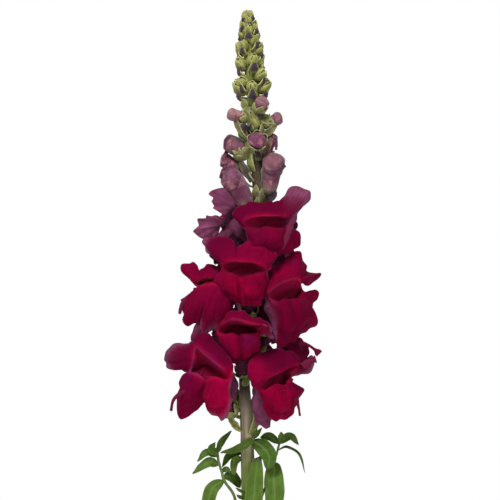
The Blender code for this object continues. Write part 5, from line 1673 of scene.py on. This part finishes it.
def make_tip():
    """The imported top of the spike: small hairy green buds, each in a bract with a dark back."""
    build = Build()
    heights = np.linspace(STEM_TOP - 2.0, TIP_TOP - 3.0, 24)
    centres = np.array([stem_centre(h) for h in heights])
    radii = np.interp(heights, [STEM_TOP, 262.0, TIP_TOP - 3.0], [3.2, 3.6, 1.0]) * MM
    add_rings(build, rings_along(centres, radii, 16), heights * 0.1)
    back = [(h + 1.6, 180.0 - az, size) for h, az, size in TIP_BUDS]
    for index, (height, azimuth, size) in enumerate(TIP_BUDS + back):
        outward = heading(azimuth, 0.0)
        rise = np.interp(height, [242.0, 260.0, 292.0], [34.0, 46.0, 74.0])
        ahead = heading(azimuth, rise)
        thick = float(np.interp(height, [242.0, 262.0, 280.0, 292.0], [3.2, 2.9, 2.2, 0.8]))
        foot = stem_centre(height + 1.0) + outward * (thick * MM)
        root = stem_centre(height - 1.0) + outward * (0.5 * thick * MM)
        add_stalk(build, [root, 0.5 * (root + foot) - np.array([0.0, 0.0, 0.2 * MM]), foot], [1.0, 0.9, 1.2], 8)
        length = 6.4 * size
        t = np.linspace(0.0, 1.0, 12)
        profile = between([(0.0, 0.5), (0.15, 0.8), (0.45, 1.0), (0.7, 0.9), (0.9, 0.55), (1.0, 0.1)], t)
        body = foot + ahead * (length * t)[:, None] * MM
        side = side_of(ahead)
        add_rings(build, rings_along(body, 2.3 * size * profile * MM, 14, side), t, edge=0.7)
        table = [(0.0, 1.3 * size), (0.2, 2.2 * size), (0.5, 2.6 * size), (0.8, 2.2 * size), (1.0, 0.9 * size)]
        add_sepals(build, foot, ahead, side, 5, length * 1.08, 3.9 * size, table, 0.1, 0.7 * index)
        fit = min(size, 1.1)
        low = stem_centre(height - 3.2 * fit) + outward * (thick * 0.9 * MM)
        add_cup_bract(build, low, heading(azimuth, rise + 4.0), 8.0 * fit, 5.8 * fit, 1.0, 0.22)
    for px, py, near, tall, wide in TIP_SCALES:
        route = [picture_point(px, py + 0.5 * tall, 1.5 - near), picture_point(px, py, -near),
                 picture_point(px, py - 0.6 * tall, 0.5 - near)]
        add_flap(build, route, (0.35 * wide, wide, 0.1 * wide), -1.0, dark=0.95)
    for height, azimuth, rise, long, wide, shade in TIP_BRACTS:
        root = stem_centre(height) + heading(azimuth, 0.0) * ((between(STEM_RADIUS, height) - 0.3) * MM)
        add_cup_bract(build, root, heading(azimuth, rise), long, wide, shade)
    return build.piece("tip_buds", calyx_material(), "tip", "raceme_tip")


# Stem, shoots and leaves

def make_stem():
    """The main stem: low ridges, swollen joints and a slanted cut at its foot."""
    build = Build()
    foot = (VASE_FLOOR + GAP - FLOWER_BASE) / MM + 0.6
    heights = np.concatenate([np.linspace(foot, 0.0, 70)[:-1], np.linspace(0.0, STEM_TOP, 170)])
    centres = np.array([stem_centre(h) for h in heights])
    radii = between(STEM_RADIUS, heights)
    joints = [f.height for f in FLORETS] + [b.height for b in BUDS] + [36.0, -10.0, 26.0]
    for joint in joints:
        radii = radii + 0.16 * np.exp(-((heights - joint + 1.0) / 2.2) ** 2)
    sides = 40
    a = np.linspace(0.0, 2.0 * math.pi, sides, endpoint=False)
    ridge = 0.10 * np.cos(5.0 * a)[None, :] * np.cos(heights / 37.0)[:, None] + 0.05 * np.cos(
        13.0 * a + 0.4)[None, :]
    radius = (radii[:, None] + ridge) * MM
    rings = rings_along(centres, radius, sides)
    cut = np.repeat((heights <= heights[0] + 0.1)[:, None], sides, axis=1).astype(float)
    add_rings(build, rings, heights * 0.1, cut=cut)
    return build.piece("stem_skin", stem_material(), "stem", "stem")


def shoot_route(shoot):
    """World points that a side shoot passes through."""
    seat, outward = seat_on_stem(shoot.height, shoot.azimuth)
    elbow = seat + outward * (SHOOT_ELBOW[0] * MM) + np.array([0.0, 0.0, SHOOT_ELBOW[1] * MM])
    return [seat, elbow] + [in_space(p) for p in shoot.points]


def shoot_radius(shoot, t):
    """Radius of a side shoot part of the way along it, in metres."""
    return shoot.radius * MM * (SHOOT_TAPER[0] + (SHOOT_TAPER[1] - SHOOT_TAPER[0]) * t)


def make_shoot(name, shoot):
    """A thin side shoot with a swollen foot and joints."""
    build = Build()
    route = shoot_route(shoot)
    outward = heading(shoot.azimuth, 0.0)
    route[0] = route[0] - outward * (1.0 * MM)
    t = np.linspace(0.0, 1.0, 60)
    centres = through(route, t)
    radii = shoot_radius(shoot, t) * (1.0 + 0.6 * np.exp(-(t / 0.05) ** 2))
    for joint in (0.51, 0.6, 0.8, 0.93, 1.0):
        radii = radii * (1.0 + 0.16 * np.exp(-((t - joint) / 0.02) ** 2))
    add_rings(build, rings_along(centres, radii, 18), t, edge=0.0)
    return build.piece(name.replace("shoot", "side_shoot"), shoot_material(), "stem", name)


def shoot_material():
    """Fresh green of the side shoots."""
    return green_material("shoot green", (0.120, 0.165, 0.045), (0.080, 0.115, 0.035), 150.0,
                          (0.300, 0.330, 0.160))


def leaf_seat(leaf):
    """Point where a leaf's midrib starts, just clear of the stem or shoot that holds it."""
    away = heading(leaf.azimuth, leaf.rise)
    clear = GAP + 0.5 * CAD_LEAF_THICKNESS * MM
    if leaf.holder == "stem":
        return stem_centre(leaf.at) + away * (between(STEM_RADIUS, leaf.at) * MM + clear)
    shoot = SHOOTS[leaf.holder]
    route = shoot_route(shoot)
    here = through(route, leaf.at)
    along = unit(here - through(route, leaf.at - 0.02)).dot(away)
    return here + away * (shoot_radius(shoot, leaf.at) * math.sqrt(1.0 - along * along) + clear)


def add_blade(build, points, width, face, dice, tone=0.0, roundness=0.82, waist=0.16):
    """A lance-shaped leaf blade on a midrib through points, with a groove, side veins and wavy edges."""
    rows = 40
    cols = 17
    t = np.linspace(0.0, 1.0, rows)
    x = np.linspace(-1.0, 1.0, cols)
    centre = through(points, t)
    ahead = unit(np.gradient(centre, axis=0))
    face = unit(np.asarray(face, float))
    across = unit(np.cross(face, ahead))
    normal = unit(np.cross(ahead, across))
    blade = np.sin(math.pi * np.clip(t, 0.0, 1.0) ** 0.86) ** roundness
    half = 0.5 * width * np.maximum(blade, waist * (1.0 - t) ** 2 + 0.03)
    wave = dice.uniform(0.0, 6.0)
    lift = 0.20 * half[:, None] * np.abs(x)[None, :] ** 1.3
    lift = lift - 0.16 * np.exp(-(x / 0.16) ** 2)[None, :] * np.sin(math.pi * t)[:, None]
    lift = lift + 0.035 * width * np.sin(15.0 * t + wave)[:, None] * (x ** 3)[None, :]
    lift = lift + 0.03 * width * np.sin(23.0 * t + 2.0 * wave)[:, None] * (x ** 2)[None, :]
    grid = centre[:, None] + (across[:, None] * (half[:, None] * x)[..., None] + normal[:, None] * lift[..., None]) * MM
    surface = grid_normals(grid, False)
    if (surface * normal[:, None]).sum() < 0.0:
        surface = -surface
    edge = np.abs(x)[None, :] ** 10 * np.ones((rows, 1))
    rib = np.exp(-(x / 0.13) ** 2)[None, :] * (1.0 - 0.5 * t)[:, None]
    thick = 0.42 * MM * (1.0 + 1.1 * np.exp(-(x / 0.2) ** 2))[None, :] * (1.0 - 0.4 * t)[:, None]
    dark = 0.8 * ease((t - 0.90) / 0.08)[:, None] * np.ones((1, cols))
    add_sheet(build, grid, surface, thick, False, t * 4.0, edge=edge, rib=rib, tone=tone, dark=dark)


LEAF_TONES = [0.15, 0.0, 0.1, 0.25, 0.1, 0.5, 0.0, 0.15, 0.0, 0.45, 0.4, 0.1, 0.0, 0.2, 0.25]


def make_leaf(number, leaf):
    """One leaf, running onto the stem or shoot that holds it."""
    build = Build()
    seat = leaf_seat(leaf)
    away = heading(leaf.azimuth, leaf.rise)
    points = [seat - away * (0.8 * MM)] + [in_space(p) for p in leaf.midrib]
    dice = np.random.default_rng(200 + number)
    add_blade(build, points, leaf.width, leaf.face, dice, LEAF_TONES[number - 1], LEAF_ROUNDNESS[number - 1])
    for midrib, width in LEAFLETS.get(number, []):
        add_blade(build, [in_space(p) for p in midrib], width, leaf.face, dice, 0.0, 0.8)
    return build.piece(f"leaf_blade_{number:02d}", leaf_material(), "leaf", f"leaf_{number:02d}")


# Vase

def make_vase():
    """The vase, turned round Z: smooth outline, rounded lip and a shallow ring under the foot."""
    build = Build()
    outside = through(np.array([(x, 0.0, z) for x, z in VASE_OUTSIDE]), np.linspace(0.0, 1.0, 120))
    inside = through(np.array([(x, 0.0, z) for x, z in VASE_INSIDE]), np.linspace(0.0, 1.0, 110))
    lip = bezier([outside[-1], (16.6, 0.0, 149.9), (15.2, 0.0, 150.3), inside[0]], np.linspace(0.0, 1.0, 12))
    foot = np.array([(0.5, 0.0, 1.0), (22.0, 0.0, 1.0), (25.0, 0.0, 0.8), (26.0, 0.0, 0.1), (26.6, 0.0, 0.0),
                     (28.6, 0.0, 0.0), (29.6, 0.0, 0.15), (30.5, 0.0, 0.9)])
    floor = np.array([(24.0, 0.0, 5.2), (12.0, 0.0, 5.0), (0.5, 0.0, 5.0)])
    outline = np.concatenate([foot, outside, lip[1:-1], inside, floor]) * MM
    sides = 120
    a = np.linspace(0.0, 2.0 * math.pi, sides, endpoint=False)
    rings = np.stack([outline[:, 0, None] * np.cos(a), outline[:, 0, None] * np.sin(a),
                      np.repeat(outline[:, 2, None], sides, axis=1)], axis=-1)
    rows = len(outline)
    faces, u, v = grid_faces(rows, sides, True)
    count = rows * sides
    steps = np.arange(sides)
    after = (steps + 1) % sides
    last = (rows - 1) * sides
    under = np.stack([np.full(sides, count), after, steps], axis=1)
    bottom = np.stack([np.full(sides, count + 1), last + steps, last + after], axis=1)
    points = np.concatenate([rings.reshape(-1, 3), [[0.0, 0.0, outline[0, 2]], [0.0, 0.0, outline[-1, 2]]]])
    maps = [np.stack([u, v / rows], axis=-1), np.zeros((sides, 3, 2)), np.zeros((sides, 3, 2))]
    build.add(points, [faces, under, bottom], maps)
    return build.piece("glazed_vase", glaze_material(), "ceramic", "vase")


# Stage

def make_stage():
    """Pale floor, soft light and the camera."""
    look = settings().stage
    scene = bpy.context.scene
    build_floor()
    world = bpy.data.worlds.new("studio")
    world.use_nodes = True
    scene.world = world
    n = Nodes(world.node_tree)
    background = world.node_tree.nodes["Background"]
    background.inputs["Color"].default_value = (1.0, 1.0, 1.0, 1.0)
    seen = n.add("ShaderNodeLightPath").outputs["Is Camera Ray"]
    n.put(background.inputs["Strength"], n.span(seen, 0.0, 1.0, look.daylight, 1.0))
    middle = Vector((0.0042, 0.0, look.height))
    add_light("key_light", (-0.36, -0.75, 1.35), middle, 0.42, look.key)
    add_light("fill_light", (0.85, -1.0, 0.55), middle, 0.9, look.key * 0.30)
    add_light("back_light", (0.3, 1.3, 0.9), middle, 0.9, look.key * 0.4)
    camera = bpy.data.cameras.new("photo_view")
    camera.lens = 100.0
    camera.sensor_width = 36.0
    camera.clip_start = 0.01
    camera.clip_end = 20.0
    holder = bpy.data.objects.new("photo_view", camera)
    holder.location = (middle.x, -look.distance, look.height)
    holder.rotation_euler = (math.radians(90.0), 0.0, 0.0)
    scene.collection.objects.link(holder)
    scene.camera = holder
    scene.view_settings.view_transform = "Standard"


def add_light(name, place, target, size, power):
    """A large square soft light that looks at a point."""
    data = bpy.data.lights.new(name, "AREA")
    data.size = size
    data.energy = power
    light = bpy.data.objects.new(name, data)
    light.location = place
    light.rotation_euler = (target - Vector(place)).to_track_quat("-Z", "Y").to_euler()
    bpy.context.scene.collection.objects.link(light)


def build_floor():
    """A pale round floor whose rim fades into the white of the room."""
    radius = 0.95
    rings = 24
    sides = 96
    a = np.linspace(0.0, 2.0 * math.pi, sides, endpoint=False)
    reach = np.linspace(0.0, 1.0, rings + 1)[1:] * radius
    points = np.stack([reach[:, None] * np.cos(a), reach[:, None] * np.sin(a), np.zeros((rings, sides))], axis=-1)
    faces, _, _ = grid_faces(rings, sides, True)
    steps = np.arange(sides)
    middle = [(rings * sides, int(i), int((i + 1) % sides)) for i in steps]
    mesh = bpy.data.meshes.new("floor")
    corners = [tuple(p) for p in points.reshape(-1, 3)] + [(0.0, 0.0, 0.0)]
    mesh.from_pydata(corners, [], [tuple(int(i) for i in f[::-1]) for f in faces] + middle)
    mesh.shade_smooth()
    made, n, shader = new_material("pale floor")
    place = n.add("ShaderNodeTexCoord").outputs["Object"]
    far = n.add("ShaderNodeVectorMath", operation="LENGTH")
    n.put(far.inputs[0], place)
    fade = n.span(far.outputs["Value"], 0.25, 0.92)
    grain = n.noise(place, 900.0, 3.0)
    n.put(shader["Base Color"], n.mix(n.span(grain, 0.3, 0.7, 0.0, 0.2), (0.88, 0.88, 0.87), (0.84, 0.84, 0.83)))
    n.put(shader["Roughness"], n.span(grain, 0.3, 0.7, 0.75, 0.85))
    shader["Specular IOR Level"].default_value = 0.1
    n.put(shader["Emission Color"], n.mix(fade, (0.0, 0.0, 0.0), (1.0, 1.0, 1.0)))
    shader["Emission Strength"].default_value = 1.0
    add_bump(n, shader, grain, 0.1, 0.0002)
    mesh.materials.append(made)
    floor = bpy.data.objects.new("floor", mesh)
    bpy.context.scene.collection.objects.link(floor)


# Operators

class SNAPDRAGON_OT_flowers(bpy.types.Operator):
    """Make the open flowers"""
    bl_idname = "snapdragon.flowers"
    bl_label = "Open flowers"

    def execute(self, context):
        for number, floret in enumerate(FLORETS, 1):
            make_corolla(number, floret)
        return {"FINISHED"}


class SNAPDRAGON_OT_calyces(bpy.types.Operator):
    """Make the stalks, calyces and bracts under the open flowers"""
    bl_idname = "snapdragon.calyces"
    bl_label = "Calyces"

    def execute(self, context):
        for number, floret in enumerate(FLORETS, 1):
            make_calyx(number, floret)
        return {"FINISHED"}


class SNAPDRAGON_OT_buds(bpy.types.Operator):
    """Make the closed buds"""
    bl_idname = "snapdragon.buds"
    bl_label = "Closed buds"

    def execute(self, context):
        for number, bud in enumerate(BUDS, 1):
            make_bud(number, bud)
        return {"FINISHED"}


class SNAPDRAGON_OT_tip(bpy.types.Operator):
    """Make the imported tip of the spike"""
    bl_idname = "snapdragon.tip"
    bl_label = "Packed tip"

    def execute(self, context):
        make_tip()
        return {"FINISHED"}


class SNAPDRAGON_OT_stems(bpy.types.Operator):
    """Make the main stem and the two side shoots"""
    bl_idname = "snapdragon.stems"
    bl_label = "Stem and shoots"

    def execute(self, context):
        make_stem()
        for name, shoot in SHOOTS.items():
            make_shoot(name, shoot)
        return {"FINISHED"}


class SNAPDRAGON_OT_leaves(bpy.types.Operator):
    """Make the leaves"""
    bl_idname = "snapdragon.leaves"
    bl_label = "Leaves"

    def execute(self, context):
        for number, leaf in enumerate(LEAVES, 1):
            make_leaf(number, leaf)
        return {"FINISHED"}


class SNAPDRAGON_OT_vase(bpy.types.Operator):
    """Make the glazed vase"""
    bl_idname = "snapdragon.vase"
    bl_label = "Vase"

    def execute(self, context):
        make_vase()
        return {"FINISHED"}


class SNAPDRAGON_OT_stage(bpy.types.Operator):
    """Make the floor, the light and the camera"""
    bl_idname = "snapdragon.stage"
    bl_label = "Stage"

    def execute(self, context):
        make_stage()
        return {"FINISHED"}


STEPS = ("flowers", "calyces", "buds", "tip", "stems", "leaves", "vase", "stage")


class SNAPDRAGON_PT_panel(bpy.types.Panel):
    """Settings and steps of the snapdragon"""
    bl_idname = "SNAPDRAGON_PT_panel"
    bl_label = "Snapdragon"
    bl_space_type = "VIEW_3D"
    bl_region_type = "UI"
    bl_category = "Snapdragon"

    def draw(self, context):
        layout = self.layout
        look = settings()
        for part in (look.petals, look.greens, look.vase, look.stage):
            box = layout.box()
            for name in part.__annotations__:
                box.prop(part, name)
        for step in STEPS:
            layout.operator(f"snapdragon.{step}")


CLASSES = (PetalSettings, GreenSettings, VaseSettings, StageSettings, SnapdragonSettings,
           SNAPDRAGON_OT_flowers, SNAPDRAGON_OT_calyces, SNAPDRAGON_OT_buds, SNAPDRAGON_OT_tip,
           SNAPDRAGON_OT_stems, SNAPDRAGON_OT_leaves, SNAPDRAGON_OT_vase, SNAPDRAGON_OT_stage,
           SNAPDRAGON_PT_panel)


def register():
    """Adds the classes and the scene's settings."""
    for made in CLASSES:
        bpy.utils.register_class(made)
    bpy.types.Scene.snapdragon = bpy.props.PointerProperty(type=SnapdragonSettings)


def unregister():
    """Takes the classes and the settings away again."""
    del bpy.types.Scene.snapdragon
    for made in reversed(CLASSES):
        bpy.utils.unregister_class(made)


def main():
    """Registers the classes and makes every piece."""
    register()
    for step in STEPS:
        getattr(bpy.ops.snapdragon, step)()


if __name__ == "__main__":
    main()
